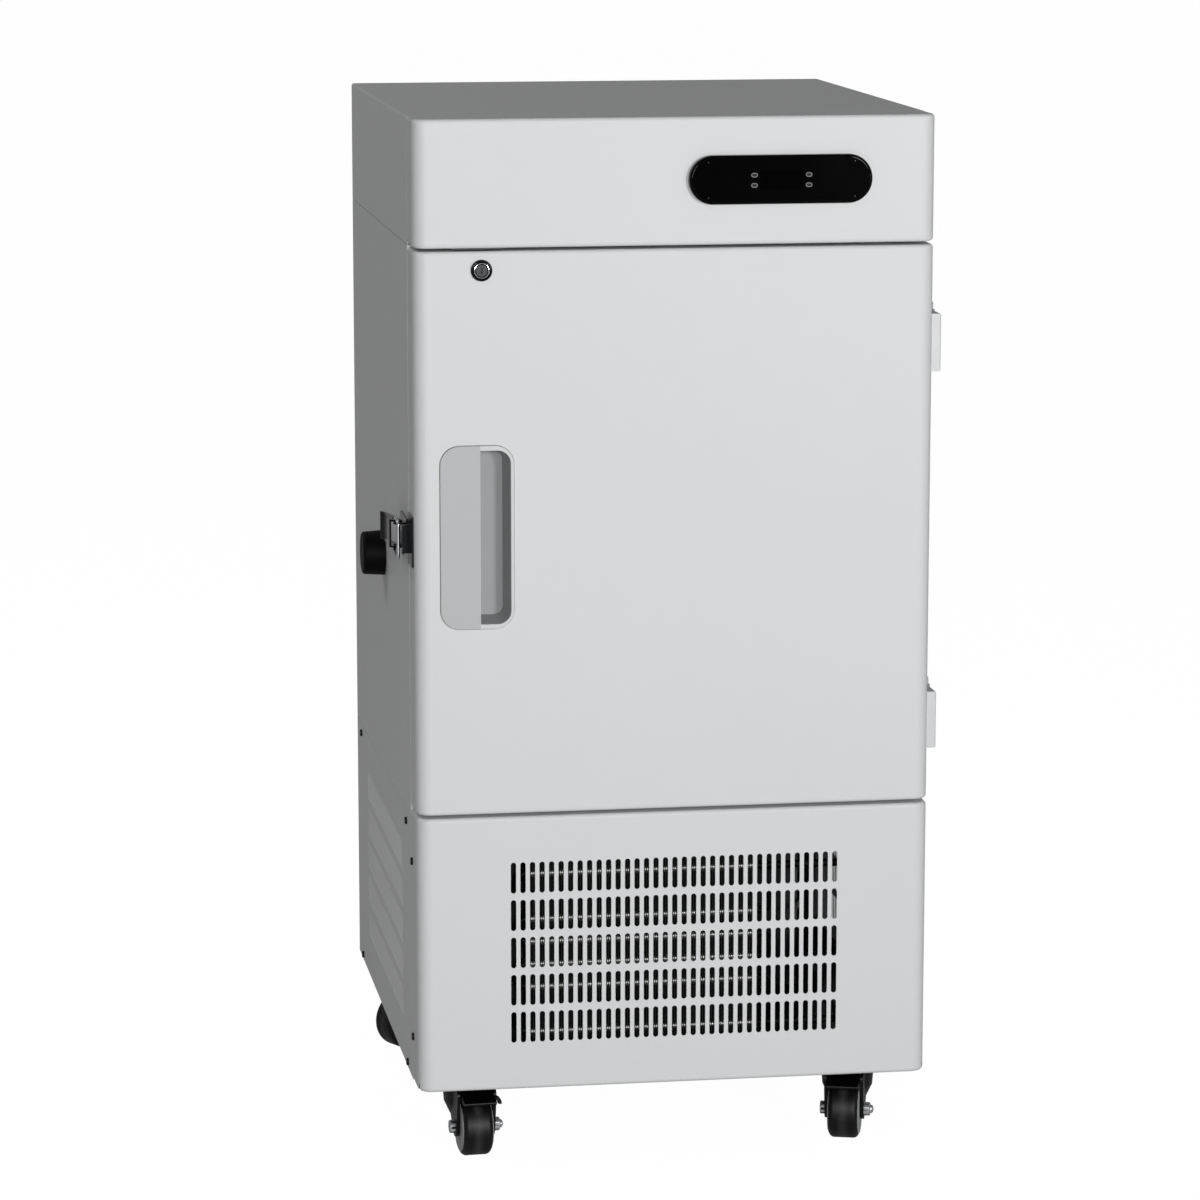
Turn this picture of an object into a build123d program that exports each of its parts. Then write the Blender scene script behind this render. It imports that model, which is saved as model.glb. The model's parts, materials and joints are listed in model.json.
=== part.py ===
"""Upright ultra low temperature freezer on swivel casters.

Millimetres. +Z is up, the floor is z = 0, the door faces -Y, and the origin lies on the
floor under the middle of the cabinet.
"""
import os

from build123d import *

# Cabinet outline
WIDTH = 540.0
DEPTH = 605.0
CASTER_HEIGHT = 88.0
BASE_HEIGHT = 292.0
DOOR_HEIGHT = 583.5
FASCIA_HEIGHT = 130.5
BASE_GAP = 3.5
TOP_GAP = 3.0
FRONT_DEPTH = 54.0
DOOR_SEAM = 3.0
PANEL_SEAM = 0.8
SERVICE_HEIGHT = 281.0
CORNER_RADIUS = 15.0
EDGE_RADIUS = 4.0
COVER_EDGE_RADIUS = 3.0
SHEET = 1.2
FLANGE_WIDTH = 44.0
FIT_GAP = 0.4

# Slots punched in the lower panels
SLOT_WIDTH = 5.6
SLOT_HEIGHT = 33.0
SLOT_PITCH = 10.0
ROW_PITCH = 40.0
SLOT_COLUMNS = 35
SLOT_ROWS = 5
FRONT_SLOTS_UP = 147.0
SIDE_SLOTS_BACK = 316.0
SIDE_SLOTS_UP = 142.0
PANEL_HEM = 14.0
BOTTOM_HEM = 8.0

# Insulated chamber
SIDE_WALL = 95.0
END_WALL = 100.0
BACK_WALL = 95.0
LINER_WALL = 1.0
LINER_CORNER = 15.0
THROAT_PLATE = 3.0
THROAT_LIP = 30.0
THROAT_LIP_WALL = 2.5
COIL_RADIUS = 4.0
COIL_PITCH = 45.0
COIL_GAP = 0.2
COIL_SPACE = 9.5
COIL_FRONT = 45.0
COIL_END_MARGIN = 25.0
SHELF_HEIGHTS = (115.0, 260.0)
SHELF_THICKNESS = 1.5
SHELF_HEM = 12.0
SHELF_CLEARANCE = 2.5
SHELF_INSET = 60.0
RAIL_LEG = 14.0
RAIL_WALL = 1.5
PROBE_RADIUS = 3.0
PROBE_LENGTH = 45.0

# Access port and its stopper
PORT_BACK = 300.0
PORT_UP = 523.0
PORT_BORE = 12.5
PORT_WALL = 2.5
STOPPER_RADIUS = 24.5
STOPPER_TIP_RADIUS = 23.0
STOPPER_REACH = 24.0
STOPPER_SHANK = 40.0
STOPPER_CLEARANCE = 0.3

# Door
LINER_SHEET = 2.5
GASKET_DEPTH = 11.7
GASKET_WIDTH = 20.0
GASKET_INSET = 14.0
GASKET_CLEARANCE = 0.3
PLUG_CLEARANCE = 4.0
PLUG_REACH = 38.0
PLUG_RADIUS = 12.0
PLUG_NOSE_RADIUS = 5.0

# Handle
HANDLE_INSET = 25.6
HANDLE_UP = 195.2
HANDLE_WIDTH = 76.5
HANDLE_HEIGHT = 190.0
HANDLE_RADIUS = 20.0
HANDLE_PLATE = 4.0
HANDLE_PROUD = 2.0
GRIP_WIDTH = 41.5
GRIP_SEAM = 0.5
POCKET_RIM = 3.4
POCKET_RIM_UP = 5.0
POCKET_RADIUS = 14.0
CUP_DEPTH = 28.0
CUP_WALL = 2.0
CUP_TAPER = 10.0

# Cam lock
LOCK_INSET = 69.4
LOCK_BELOW_TOP = 19.3
LOCK_RING_RADIUS = 11.0
LOCK_RING_PROUD = 3.0
LOCK_BODY_RADIUS = 8.5
LOCK_BODY_LENGTH = 21.5
LOCK_CORE_RADIUS = 6.0
LOCK_CORE_RECESS = 0.8
LOCK_RUNNING_GAP = 0.06
KEY_SLOT = (1.6, 7.0, 4.0)
CAM_BITE = 7.7
CAM_WIDTH = 12.0
CAM_THICKNESS = 2.5
CAM_CLEARANCE = 0.3
CAM_SLOT_CLEARANCE = 2.0

# Display pod
DISPLAY_RIGHT = 106.5
DISPLAY_UP = 66.5
DISPLAY_WIDTH = 190.0
DISPLAY_HEIGHT = 50.0
DISPLAY_PROUD = 9.0
DISPLAY_END_RADIUS = 24.9
DISPLAY_EDGE_RADIUS = 3.0
DISPLAY_BOSS = (124.0, 34.0, 17.0)
WINDOW_SIZE = (44.0, 20.0)
WINDOW_DEPTH = 2.0
KEY_SPREAD = 56.5
KEY_ROWS = 10.4
KEY_SIZE = (7.5, 5.2)
KEY_PROUD = 0.7
KEY_DEPTH = 5.0
KEY_CLEARANCE = 0.3
KEY_WELL = 1.0
BOARD_SIZE = (150.0, 44.0, 1.6)

# Hinges
HINGE_UPS = (82.5, 480.5)
HINGE_HEIGHT = 60.0
HINGE_OUT = 6.5
HINGE_BACK = 1.5
HINGE_LEAF = 35.0
HINGE_THICKNESS = 10.0
HINGE_FIXED_THICKNESS = 8.5
HINGE_BARREL = 6.0
HINGE_LEAF_START = 7.0
HINGE_PIN = 3.0
HINGE_PIN_GAP = 0.05
HINGE_CAP_RADIUS = 4.5
HINGE_CAP_HEIGHT = 8.0
HINGE_LIFT = 0.3
HINGE_EDGE = 1.5

# Draw latch
LATCH_UP = 284.5
LATCH_PLATE = 2.0
LATCH_START = 6.0
LATCH_LENGTH = 56.0
LATCH_HALF = 17.0
LATCH_PIVOT_BACK = 18.0
LATCH_PIVOT_OUT = 9.0
EAR_INNER = 10.0
EAR_WALL = 2.0
EAR_RADIUS = 5.0
LATCH_PIN = 2.0
LATCH_GAP = 0.05
LATCH_SIDE_GAP = 0.6
LEVER_WALL = 2.0
LEVER_WEB_OUT = 8.0
LEVER_WEB_START = 3.5
LEVER_WEB_END = 51.0
LEVER_BOSS = 4.5
LEVER_TAB = (3.5, 8.0)
BAIL_WIRE = 1.75
BAIL_PIVOT = (3.5, 7.0)
BAIL_BEND = 4.0
BAIL_HALF = 19.0
BAIL_BAR_OUT = 14.0
BAIL_BAR_BACK = 31.5
KEEPER_HALF = 26.0
KEEPER_START = 14.5
KEEPER_LENGTH = 35.5
KEEPER_HOOK_HALF = 15.0
KEEPER_HOOK_BACK = 40.5
KEEPER_HOOK_OUT = 9.5
KEEPER_HOOK_LIP = 5.5

# Casters
CASTER_INSET_X = 64.0
CASTER_INSET_Y = 94.0
CASTER_TURNS = {"fl": 3.5, "fr": -17.0, "rl": -60.0, "rr": -25.0}
WHEEL_RADIUS = 31.5
WHEEL_WIDTH = 32.0
WHEEL_SHOULDER = 6.0
WHEEL_HUB_RADIUS = 10.0
WHEEL_WEB_WIDTH = 21.0
WHEEL_RIM_RADIUS = 22.5
WHEEL_HUB_GAP = 0.5
TRAIL = 28.0
FORK_WALL = 3.0
FORK_SIDE_GAP = 2.0
FORK_EYE = 11.0
FORK_SHOULDER_RADIUS = 3.0
CROWN_RADIUS = 28.5
CROWN_HEIGHT = 8.2
CROWN_EDGE = 3.0
CHEEK_RADIUS = 27.0
CHEEK_BEND_DROP = 19.0
CHEEK_END_DROP = 32.0
AXLE_RADIUS = 4.0
AXLE_GAP = 0.06
AXLE_HEAD = 7.0
AXLE_HEAD_HEIGHT = 4.2
PLATE_SIZE = (70.0, 60.0, 2.5)
PLATE_CORNER = 6.0
RACE_RADIUS = 24.0
RACE_HEIGHT = 6.0
RACE_GAP = 0.3
KING_PIN_RADIUS = 6.0
KING_PIN_GAP = 0.05
KING_HEAD_RADIUS = 9.5
KING_HEAD_HEIGHT = 3.0
BRAKE_PIN_OUT = 41.0
BRAKE_PIN_UP = 68.0
BRAKE_PIN_RADIUS = 2.5
BRAKE_PIN_GAP = 0.06
BRAKE_BOSS = 4.5
BRAKE_EYE = 6.0
BRAKE_SIDE_GAP = 0.6
BRAKE_TIP = (66.0, 65.5, 1.8)

# Machine compartment
TRAY_SHEET = 2.0
TRAY_RIM = 25.0
POST_LEG = 25.0
POST_WALL = 2.0
CONDENSER_LEFT = -150.0
CONDENSER_RIGHT = 90.0
CONDENSER_RUNS = 8
CONDENSER_PITCH = 24.3
CONDENSER_LOWEST = 56.0
CONDENSER_TUBE = 4.8
CONDENSER_TUBE_BACK = 22.5
CONDENSER_TUBE_GAP = 0.3
CONDENSER_CORE_DEPTH = 40.0
CONDENSER_PLATE = 1.5
CONDENSER_PLATE_FRONT = 3.0
CONDENSER_PLATE_TOP = 12.0
CONDENSER_MARGIN = 16.0
CONDENSER_TAIL = 14.0
BEND_SHARE = 0.45
FAN_RADIUS = 90.0
FAN_TIP_GAP = 5.0
FAN_HUB_RADIUS = 24.0
FAN_HUB_LENGTH = 22.0
FAN_BLADES = 5
FAN_BLADE_WALL = 2.0
FAN_BLADE_PITCH = 32.0
FAN_BLADE_CHORD = 52.0
FAN_SHAFT = 4.0
FAN_SHAFT_GAP = 0.05
FAN_SHAFT_LENGTH = 20.0
FAN_MOTOR_GAP = 8.0
FAN_STANDOFF = 6.0
SHROUD_SHEET = 1.2
SHROUD_COLLAR = 20.0
SHROUD_COLLAR_WALL = 1.5
MOTOR_RADIUS = 38.0
MOTOR_LENGTH = 60.0
MOTOR_BORE_SPARE = 5.0
MOTOR_ARMS = 3
MOTOR_ARM = (14.0, 3.0)
COMPRESSOR_PLACE = (130.0, 90.0)
COMPRESSOR_RADIUS = 78.0
COMPRESSOR_HEIGHT = 195.0
COMPRESSOR_DOME = 45.0
COMPRESSOR_SEAM = (3.0, 8.0)
FOOT_HEIGHT = 15.0
FOOT_RADIUS = 12.0
FOOT_SPREAD = 62.0
FOOT_PLATE = 3.0
FOOT_PLATE_MARGIN = 18.0
LINE_RADIUS = 4.0
SUCTION_RADIUS = 6.0
LINE_BEND = 14.0
LINE_SEAT = 0.3
DRIER_RADIUS = 12.0
DRIER_LENGTH = 80.0
INLET_PLACE = (220.0, 42.0)
INLET_FLANGE = (50.0, 24.0, 2.5)
INLET_BODY = (28.0, 20.0, 26.0)
INLET_SOCKET = (24.0, 16.4, 17.0)
INLET_PIN = (2.0, 4.0, 13.0)
INLET_PIN_SPREAD = 7.0
INLET_PIN_DROP = 2.0

# Panel screws
SCREW_RADIUS = 4.0
SCREW_HEIGHT = 2.4
SIDE_SCREW_BACKS = (98.0, 556.0)
SIDE_SCREW_UPS = (7.0, 270.0)
RETURN_SCREW_BACK = 46.0
RETURN_SCREW_UPS = (49.0, 238.0)
REAR_SCREW_INSET = 14.0

# Levels and planes that follow from the sizes above
HALF_WIDTH = WIDTH / 2
FORK_INNER = WHEEL_WIDTH / 2 + FORK_SIDE_GAP
Y_FRONT = -DEPTH / 2
Y_BACK = DEPTH / 2
Y_RETURN = Y_FRONT + FRONT_DEPTH
Y_BODY = Y_RETURN + DOOR_SEAM
Y_PANEL = Y_RETURN + PANEL_SEAM
Z_BASE = CASTER_HEIGHT
Z_BASE_TOP = Z_BASE + BASE_HEIGHT
Z_DOOR = Z_BASE_TOP + BASE_GAP
Z_DOOR_TOP = Z_DOOR + DOOR_HEIGHT
Z_FASCIA = Z_DOOR_TOP + TOP_GAP
Z_TOP = Z_FASCIA + FASCIA_HEIGHT
Z_SERVICE_TOP = Z_BASE + SERVICE_HEIGHT
Z_SHELL = Z_SERVICE_TOP + PANEL_SEAM
Z_SHELL_TOP = Z_FASCIA - PANEL_SEAM
CHAMBER_HALF = HALF_WIDTH - SIDE_WALL
Z_CHAMBER = Z_SHELL + END_WALL
Z_CHAMBER_TOP = Z_SHELL_TOP - END_WALL
Y_CHAMBER_BACK = Y_BACK - BACK_WALL
Y_LINER = Y_BODY + THROAT_LIP
PORT_Y = Y_FRONT + PORT_BACK
PORT_Z = Z_BASE + PORT_UP
Z_TRAY = Z_BASE + TRAY_SHEET
Y_DOOR_LINER = Y_BODY - GASKET_CLEARANCE - GASKET_DEPTH
PLUG_HALF = CHAMBER_HALF - PLUG_CLEARANCE
Z_PLUG = Z_CHAMBER + PLUG_CLEARANCE
Z_PLUG_TOP = Z_CHAMBER_TOP - PLUG_CLEARANCE
LOCK_X = -HALF_WIDTH + LOCK_INSET
LOCK_Z = Z_DOOR_TOP - LOCK_BELOW_TOP
Y_CAM = Y_FRONT + LOCK_BODY_LENGTH + CAM_CLEARANCE
CAM_LENGTH = LOCK_BELOW_TOP + TOP_GAP + CAM_BITE
HANDLE_LEFT = -HALF_WIDTH + HANDLE_INSET
HANDLE_X = HANDLE_LEFT + HANDLE_WIDTH / 2
HANDLE_Z = Z_DOOR + HANDLE_UP + HANDLE_HEIGHT / 2
POCKET_RIGHT = HANDLE_LEFT + HANDLE_WIDTH - POCKET_RIM
POCKET_LEFT = HANDLE_LEFT + POCKET_RIM
POCKET_HEIGHT = HANDLE_HEIGHT - 2 * POCKET_RIM_UP
HINGE_X = HALF_WIDTH + HINGE_OUT
HINGE_Y = Y_RETURN + HINGE_BACK
LATCH_Z = Z_DOOR + LATCH_UP
LATCH_X = -HALF_WIDTH - LATCH_PIVOT_OUT
LATCH_Y = Y_BODY + LATCH_PIVOT_BACK
DISPLAY_Z = Z_FASCIA + DISPLAY_UP
FAN_X = (CONDENSER_LEFT + CONDENSER_RIGHT) / 2
CONDENSER_TOP = CONDENSER_LOWEST + (CONDENSER_RUNS - 1) * CONDENSER_PITCH
FAN_Z = Z_BASE + (CONDENSER_LOWEST + CONDENSER_TOP) / 2
Y_TUBES = Y_FRONT + CONDENSER_TUBE_BACK
Y_CORE = Y_TUBES + CONDENSER_TUBE + CONDENSER_TUBE_GAP
Y_SHROUD = Y_CORE + CONDENSER_CORE_DEPTH
Z_COMPRESSOR = Z_TRAY + FOOT_HEIGHT

MIDDLE = (Align.CENTER, Align.CENTER, Align.MIN)


def slab(x, y, z):
    """Box between pairs of x, y and z limits."""
    sizes = [high - low for low, high in (x, y, z)]
    middle = [(high + low) / 2 for low, high in (x, y, z)]
    return Pos(*middle) * Box(*sizes)


def rod(start, end, radius):
    """Round bar between two points."""
    along = Vector(*end) - Vector(*start)
    return Plane(origin=start, z_dir=along) * Cylinder(radius, along.length, align=MIDDLE)


def pipe(points, bend, radius):
    """Round bar along straight runs joined by tangent bends."""
    path = FilletPolyline(*points, radius=bend)
    return sweep(Plane(origin=path @ 0, z_dir=path % 0) * Circle(radius), path=path)


def upright_face(x, y, z):
    """Plane of a front face, with its normal towards -Y."""
    return Plane(origin=(x, y, z), x_dir=(1, 0, 0), z_dir=(0, -1, 0))


def hull_of(*discs):
    """Outline stretched round discs given as (u, v, radius)."""
    circles = [edge for u, v, radius in discs for edge in (Pos(u, v) * Circle(radius)).edges()]
    return make_hull(circles)


def soft_block(width, depth, height, corner, edge):
    """Block open for a folded sheet: round front uprights and softened top and bottom rims."""
    body = Box(width, depth, height, align=(Align.CENTER, Align.MIN, Align.MIN))
    body = fillet(body.edges().filter_by(Axis.Z).group_by(Axis.Y)[0], corner)
    levels = body.faces().filter_by(Axis.Z).sort_by(Axis.Z)
    rims = [rim for face in (levels[0], levels[-1]) for rim in face.edges()]
    return fillet([rim for rim in rims if rim.center().Y < depth - EDGE_RADIUS / 2], edge)


def front_pan(z, height):
    """Folded sheet front with returns on all four sides, open at the back."""
    outer = soft_block(WIDTH, FRONT_DEPTH, height, CORNER_RADIUS, EDGE_RADIUS)
    inner = soft_block(
        WIDTH - 2 * SHEET, FRONT_DEPTH, height - 2 * SHEET, CORNER_RADIUS - SHEET, EDGE_RADIUS - SHEET
    )
    return Pos(0, Y_FRONT, z) * (outer - Pos(0, SHEET, SHEET) * inner)


def slot_tools(plane):
    """Round-ended slots of one panel, in rows and columns about the plane's origin."""
    slot = extrude(SlotOverall(SLOT_HEIGHT, SLOT_WIDTH, rotation=90), 2 * SHEET, both=True)
    places = GridLocations(SLOT_PITCH, ROW_PITCH, SLOT_COLUMNS, SLOT_ROWS)
    return [plane.location * place * slot for place in places]


def grille_panel():
    """Lower front panel with its slots."""
    face = upright_face(0, Y_FRONT, Z_BASE + FRONT_SLOTS_UP)
    half = HALF_WIDTH - SHEET
    below = (Z_BASE - SHEET, Z_BASE + 2 * EDGE_RADIUS)
    pan = front_pan(Z_BASE, BASE_HEIGHT) - slab((-half, half), (Y_FRONT + BOTTOM_HEM, Y_BODY), below)
    return pan - slot_tools(face)


def service_panel(side):
    """Slotted lower side panel with hems turned in at its front and back edges."""
    outer, inner = side * HALF_WIDTH, side * (HALF_WIDTH - SHEET)
    sheet = slab(sorted((inner, outer)), (Y_PANEL, Y_BACK), (Z_BASE, Z_SERVICE_TOP))
    hem_x = sorted((side * (HALF_WIDTH - PANEL_HEM), inner))
    sheet += slab(hem_x, (Y_PANEL, Y_PANEL + SHEET), (Z_TRAY + TRAY_RIM, Z_SERVICE_TOP))
    face = Plane(
        origin=(outer, Y_FRONT + SIDE_SLOTS_BACK, Z_BASE + SIDE_SLOTS_UP), x_dir=(0, 1, 0), z_dir=(side, 0, 0)
    )
    return sheet - slot_tools(face)


def rear_grille_panel():
    """Slotted lower rear panel with the opening for the mains inlet."""
    half = HALF_WIDTH - SHEET
    sheet = slab((-half, half), (Y_BACK - SHEET, Y_BACK), (Z_BASE, Z_SERVICE_TOP))
    face = upright_face(0, Y_BACK, Z_BASE + SIDE_SLOTS_UP)
    width, height, _ = INLET_BODY
    x, z = INLET_PLACE[0], Z_BASE + INLET_PLACE[1]
    reach = (width / 2 + FIT_GAP, height / 2 + FIT_GAP)
    hole = slab((x - reach[0], x + reach[0]), (Y_BACK - 2 * SHEET, Y_BACK + SHEET), (z - reach[1], z + reach[1]))
    return sheet - slot_tools(face) - hole


def base_frame():
    """Floor tray of the machine compartment, with a turned-up rim and welded corner posts."""
    half = HALF_WIDTH - SHEET
    y = (Y_FRONT + BOTTOM_HEM + TRAY_SHEET, Y_BACK - SHEET)
    outer = slab((-half, half), y, (Z_BASE, Z_TRAY + TRAY_RIM))
    outer = fillet(outer.edges().filter_by(Axis.Z).group_by(Axis.Y)[0], CORNER_RADIUS)
    inside = TRAY_SHEET
    inner = slab((inside - half, half - inside), (y[0] + inside, y[1] - inside), (Z_TRAY, Z_TRAY + 2 * TRAY_RIM))
    inner = fillet(inner.edges().filter_by(Axis.Z).group_by(Axis.Y)[0], CORNER_RADIUS - inside)
    return outer - inner + corner_posts()


def corner_posts():
    """Angle posts that carry the insulated box on the tray."""
    half = HALF_WIDTH - SHEET - TRAY_SHEET
    front, back = Y_PANEL + SHEET + TRAY_SHEET, Y_BACK - SHEET - TRAY_SHEET
    posts = []
    for side in (-1, 1):
        for edge, inward in ((front, 1), (back, -1)):
            x = sorted((side * half, side * (half - POST_LEG)))
            y = sorted((edge, edge + inward * POST_LEG))
            hollow_x = sorted((side * (half - POST_WALL), side * (half - 2 * POST_LEG)))
            hollow_y = sorted((edge + inward * POST_WALL, edge + inward * 2 * POST_LEG))
            z = (Z_TRAY, Z_SHELL)
            posts.append(slab(x, y, z) - slab(hollow_x, hollow_y, z))
    return posts


def cabinet_shell():
    """Outer wrap of the insulated box with the steel flange that the gasket meets."""
    z = (Z_SHELL, Z_SHELL_TOP)
    wrap = slab((-HALF_WIDTH, HALF_WIDTH), (Y_BODY, Y_BACK - SHEET), z)
    half = HALF_WIDTH - SHEET
    wrap -= slab((-half, half), (Y_BODY + SHEET, Y_BACK), (z[0] + SHEET, z[1] - SHEET))
    half = HALF_WIDTH - FLANGE_WIDTH
    mouth_z = (z[0] + FLANGE_WIDTH, z[1] - FLANGE_WIDTH)
    wrap -= slab((-half, half), (Y_BODY - SHEET, Y_BODY + 2 * SHEET), mouth_z)
    return wrap - port_hole()


def port_hole():
    """Round clearance for the port sleeve through the left wall."""
    start = (-HALF_WIDTH - SHEET, PORT_Y, PORT_Z)
    end = (-CHAMBER_HALF + SHEET, PORT_Y, PORT_Z)
    return rod(start, end, PORT_BORE + PORT_WALL + FIT_GAP)


def rear_panel():
    """Flat sheet over the back of the insulated box."""
    return slab((-HALF_WIDTH, HALF_WIDTH), (Y_BACK - SHEET, Y_BACK), (Z_SHELL, Z_SHELL_TOP))


def throat_frame():
    """Plastic ring that parts the cold liner from the warm flange, with a lip into the mouth."""
    half = HALF_WIDTH - FLANGE_WIDTH
    z = (Z_SHELL + FLANGE_WIDTH, Z_SHELL_TOP - FLANGE_WIDTH)
    ring = slab((-half, half), (Y_BODY, Y_BODY + THROAT_PLATE), z)
    reach = CHAMBER_HALF + THROAT_LIP_WALL
    lip_z = (Z_CHAMBER - THROAT_LIP_WALL, Z_CHAMBER_TOP + THROAT_LIP_WALL)
    ring += slab((-reach, reach), (Y_BODY, Y_LINER), lip_z)
    mouth = slab((-CHAMBER_HALF, CHAMBER_HALF), (Y_BODY - SHEET, Y_LINER + SHEET), (Z_CHAMBER, Z_CHAMBER_TOP))
    return ring - mouth


def chamber_liner():
    """Sheet box of the cold chamber, open at the front, with round rear uprights."""
    outer_half = CHAMBER_HALF + LINER_WALL
    z = (Z_CHAMBER - LINER_WALL, Z_CHAMBER_TOP + LINER_WALL)
    outer = slab((-outer_half, outer_half), (Y_LINER, Y_CHAMBER_BACK + LINER_WALL), z)
    outer = fillet(outer.edges().filter_by(Axis.Z).group_by(Axis.Y)[-1], LINER_CORNER)
    inner = slab((-CHAMBER_HALF, CHAMBER_HALF), (Y_LINER, Y_CHAMBER_BACK), (Z_CHAMBER, Z_CHAMBER_TOP))
    inner = fillet(inner.edges().filter_by(Axis.Z).group_by(Axis.Y)[-1], LINER_CORNER - LINER_WALL)
    return outer - inner - port_hole()


def insulation_foam():
    """Foam between shell and liner, with room for the evaporator tube round the liner."""
    half = HALF_WIDTH - SHEET
    foam = slab((-half, half), (Y_BODY + SHEET, Y_BACK - SHEET), (Z_SHELL + SHEET, Z_SHELL_TOP - SHEET))
    throat = HALF_WIDTH - FLANGE_WIDTH
    throat_z = (Z_SHELL + FLANGE_WIDTH, Z_SHELL_TOP - FLANGE_WIDTH)
    foam -= slab((-throat, throat), (Y_BODY, Y_BODY + THROAT_PLATE), throat_z)
    lip = CHAMBER_HALF + THROAT_LIP_WALL
    lip_z = (Z_CHAMBER - THROAT_LIP_WALL, Z_CHAMBER_TOP + THROAT_LIP_WALL)
    foam -= slab((-lip, lip), (Y_BODY, Y_LINER), lip_z)
    side = CHAMBER_HALF + LINER_WALL + COIL_SPACE
    cavity_z = (Z_CHAMBER - LINER_WALL, Z_CHAMBER_TOP + LINER_WALL)
    foam -= slab((-side, side), (Y_LINER, Y_CHAMBER_BACK + LINER_WALL + COIL_SPACE), cavity_z)
    return foam - port_hole()


def evaporator_coil():
    """One tube wound to and fro round three sides of the liner, clear of the access port."""
    offset = LINER_WALL + COIL_GAP + COIL_RADIUS
    x, back, front = CHAMBER_HALF + offset, Y_CHAMBER_BACK + offset, Y_LINER + COIL_FRONT
    below = int((PORT_Z - Z_CHAMBER - COIL_END_MARGIN) / COIL_PITCH + 0.5)
    above = int((Z_CHAMBER_TOP - COIL_END_MARGIN - PORT_Z) / COIL_PITCH + 0.5)
    points, bends, side = [], [], -1
    for level in range(-below, above):
        z = PORT_Z + (level + 0.5) * COIL_PITCH
        points += [(side * x, front, z), (side * x, back, z), (-side * x, back, z), (-side * x, front, z)]
        side = -side
    corner = LINER_CORNER + COIL_GAP + COIL_RADIUS
    for index in range(1, len(points) - 1):
        bends.append(BEND_SHARE * COIL_PITCH if index % 4 in (0, 3) else corner)
    return pipe(points, bends, COIL_RADIUS)


def port_sleeve():
    """Tube that lines the access port from the shell to the liner."""
    start = (-HALF_WIDTH, PORT_Y, PORT_Z)
    end = (-CHAMBER_HALF, PORT_Y, PORT_Z)
    return rod(start, end, PORT_BORE + PORT_WALL) - rod(start, end, PORT_BORE)


def port_stopper():
    """Rubber stopper: a drafted head outside and a shank in the sleeve."""
    plane = Plane(origin=(-HALF_WIDTH, PORT_Y, PORT_Z), z_dir=(-1, 0, 0))
    head = plane * Cone(STOPPER_RADIUS, STOPPER_TIP_RADIUS, STOPPER_REACH, align=MIDDLE)
    head = fillet(head.edges().sort_by(Axis.X)[0], COVER_EDGE_RADIUS)
    start = (-HALF_WIDTH, PORT_Y, PORT_Z)
    end = (-HALF_WIDTH + STOPPER_SHANK, PORT_Y, PORT_Z)
    shank = chamfer(rod(start, end, PORT_BORE - STOPPER_CLEARANCE).edges().sort_by(Axis.X)[-1], PORT_WALL)
    return Pos(-STOPPER_CLEARANCE, 0, 0) * (head + shank)


def shelf_levels():
    """Heights of the shelves' top faces."""
    return [Z_CHAMBER + up for up in SHELF_HEIGHTS]


def shelves():
    """Sheet shelves with turned-down front and back hems."""
    half = CHAMBER_HALF - SHELF_CLEARANCE
    y = (Y_LINER + SHELF_INSET, Y_CHAMBER_BACK - LINER_CORNER)
    plates = []
    for top in shelf_levels():
        plate = slab((-half, half), y, (top - SHELF_THICKNESS, top))
        hem_half = half - RAIL_LEG - SHELF_CLEARANCE
        for edge in (y[0], y[1] - SHELF_THICKNESS):
            plate += slab((-hem_half, hem_half), (edge, edge + SHELF_THICKNESS), (top - SHELF_HEM, top))
        plates.append(plate)
    return Compound(children=plates)


def shelf_rails():
    """Angle rails on the liner's side walls, one pair for each shelf."""
    y = (Y_LINER + SHELF_INSET, Y_CHAMBER_BACK - LINER_CORNER)
    rails = []
    for top in shelf_levels():
        seat = top - SHELF_THICKNESS
        for side in (-1, 1):
            wall = side * CHAMBER_HALF
            flat = slab(sorted((wall, wall - side * RAIL_LEG)), y, (seat - RAIL_WALL, seat))
            upright = slab(sorted((wall, wall - side * RAIL_WALL)), y, (seat - RAIL_LEG, seat))
            rails.append(flat + upright)
    return Compound(children=rails)


def temperature_probe():
    """Sensor rod that stands out of the chamber's rear wall."""
    z = Z_CHAMBER_TOP - SHELF_INSET
    return rod((0, Y_CHAMBER_BACK - PROBE_LENGTH, z), (0, Y_CHAMBER_BACK, z), PROBE_RADIUS)


def top_cover():
    """Sheet hood over the top housing, open at the front and below."""
    z = (Z_FASCIA, Z_TOP)
    hood = slab((-HALF_WIDTH, HALF_WIDTH), (Y_PANEL, Y_BACK), z)
    top = hood.faces().sort_by(Axis.Z)[-1]
    hood = fillet([edge for edge in top.edges() if edge.center().Y > Y_PANEL + SHEET], COVER_EDGE_RADIUS)
    half = HALF_WIDTH - SHEET
    return hood - slab((-half, half), (Y_PANEL - SHEET, Y_BACK - SHEET), (z[0] - SHEET, z[1] - SHEET))


def cam_slot(low):
    """Slot through a return whose underside is at height low, as wide as the turning cam needs there."""
    rise = low - LOCK_Z
    swing = (CAM_LENGTH**2 - rise**2) ** 0.5
    x = (LOCK_X - swing - CAM_SLOT_CLEARANCE, LOCK_X + CAM_WIDTH / 2 + CAM_SLOT_CLEARANCE)
    y = (Y_CAM - CAM_SLOT_CLEARANCE, Y_CAM + CAM_THICKNESS + CAM_SLOT_CLEARANCE)
    return slab(x, y, (low - SHEET, low + 2 * SHEET))


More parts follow.
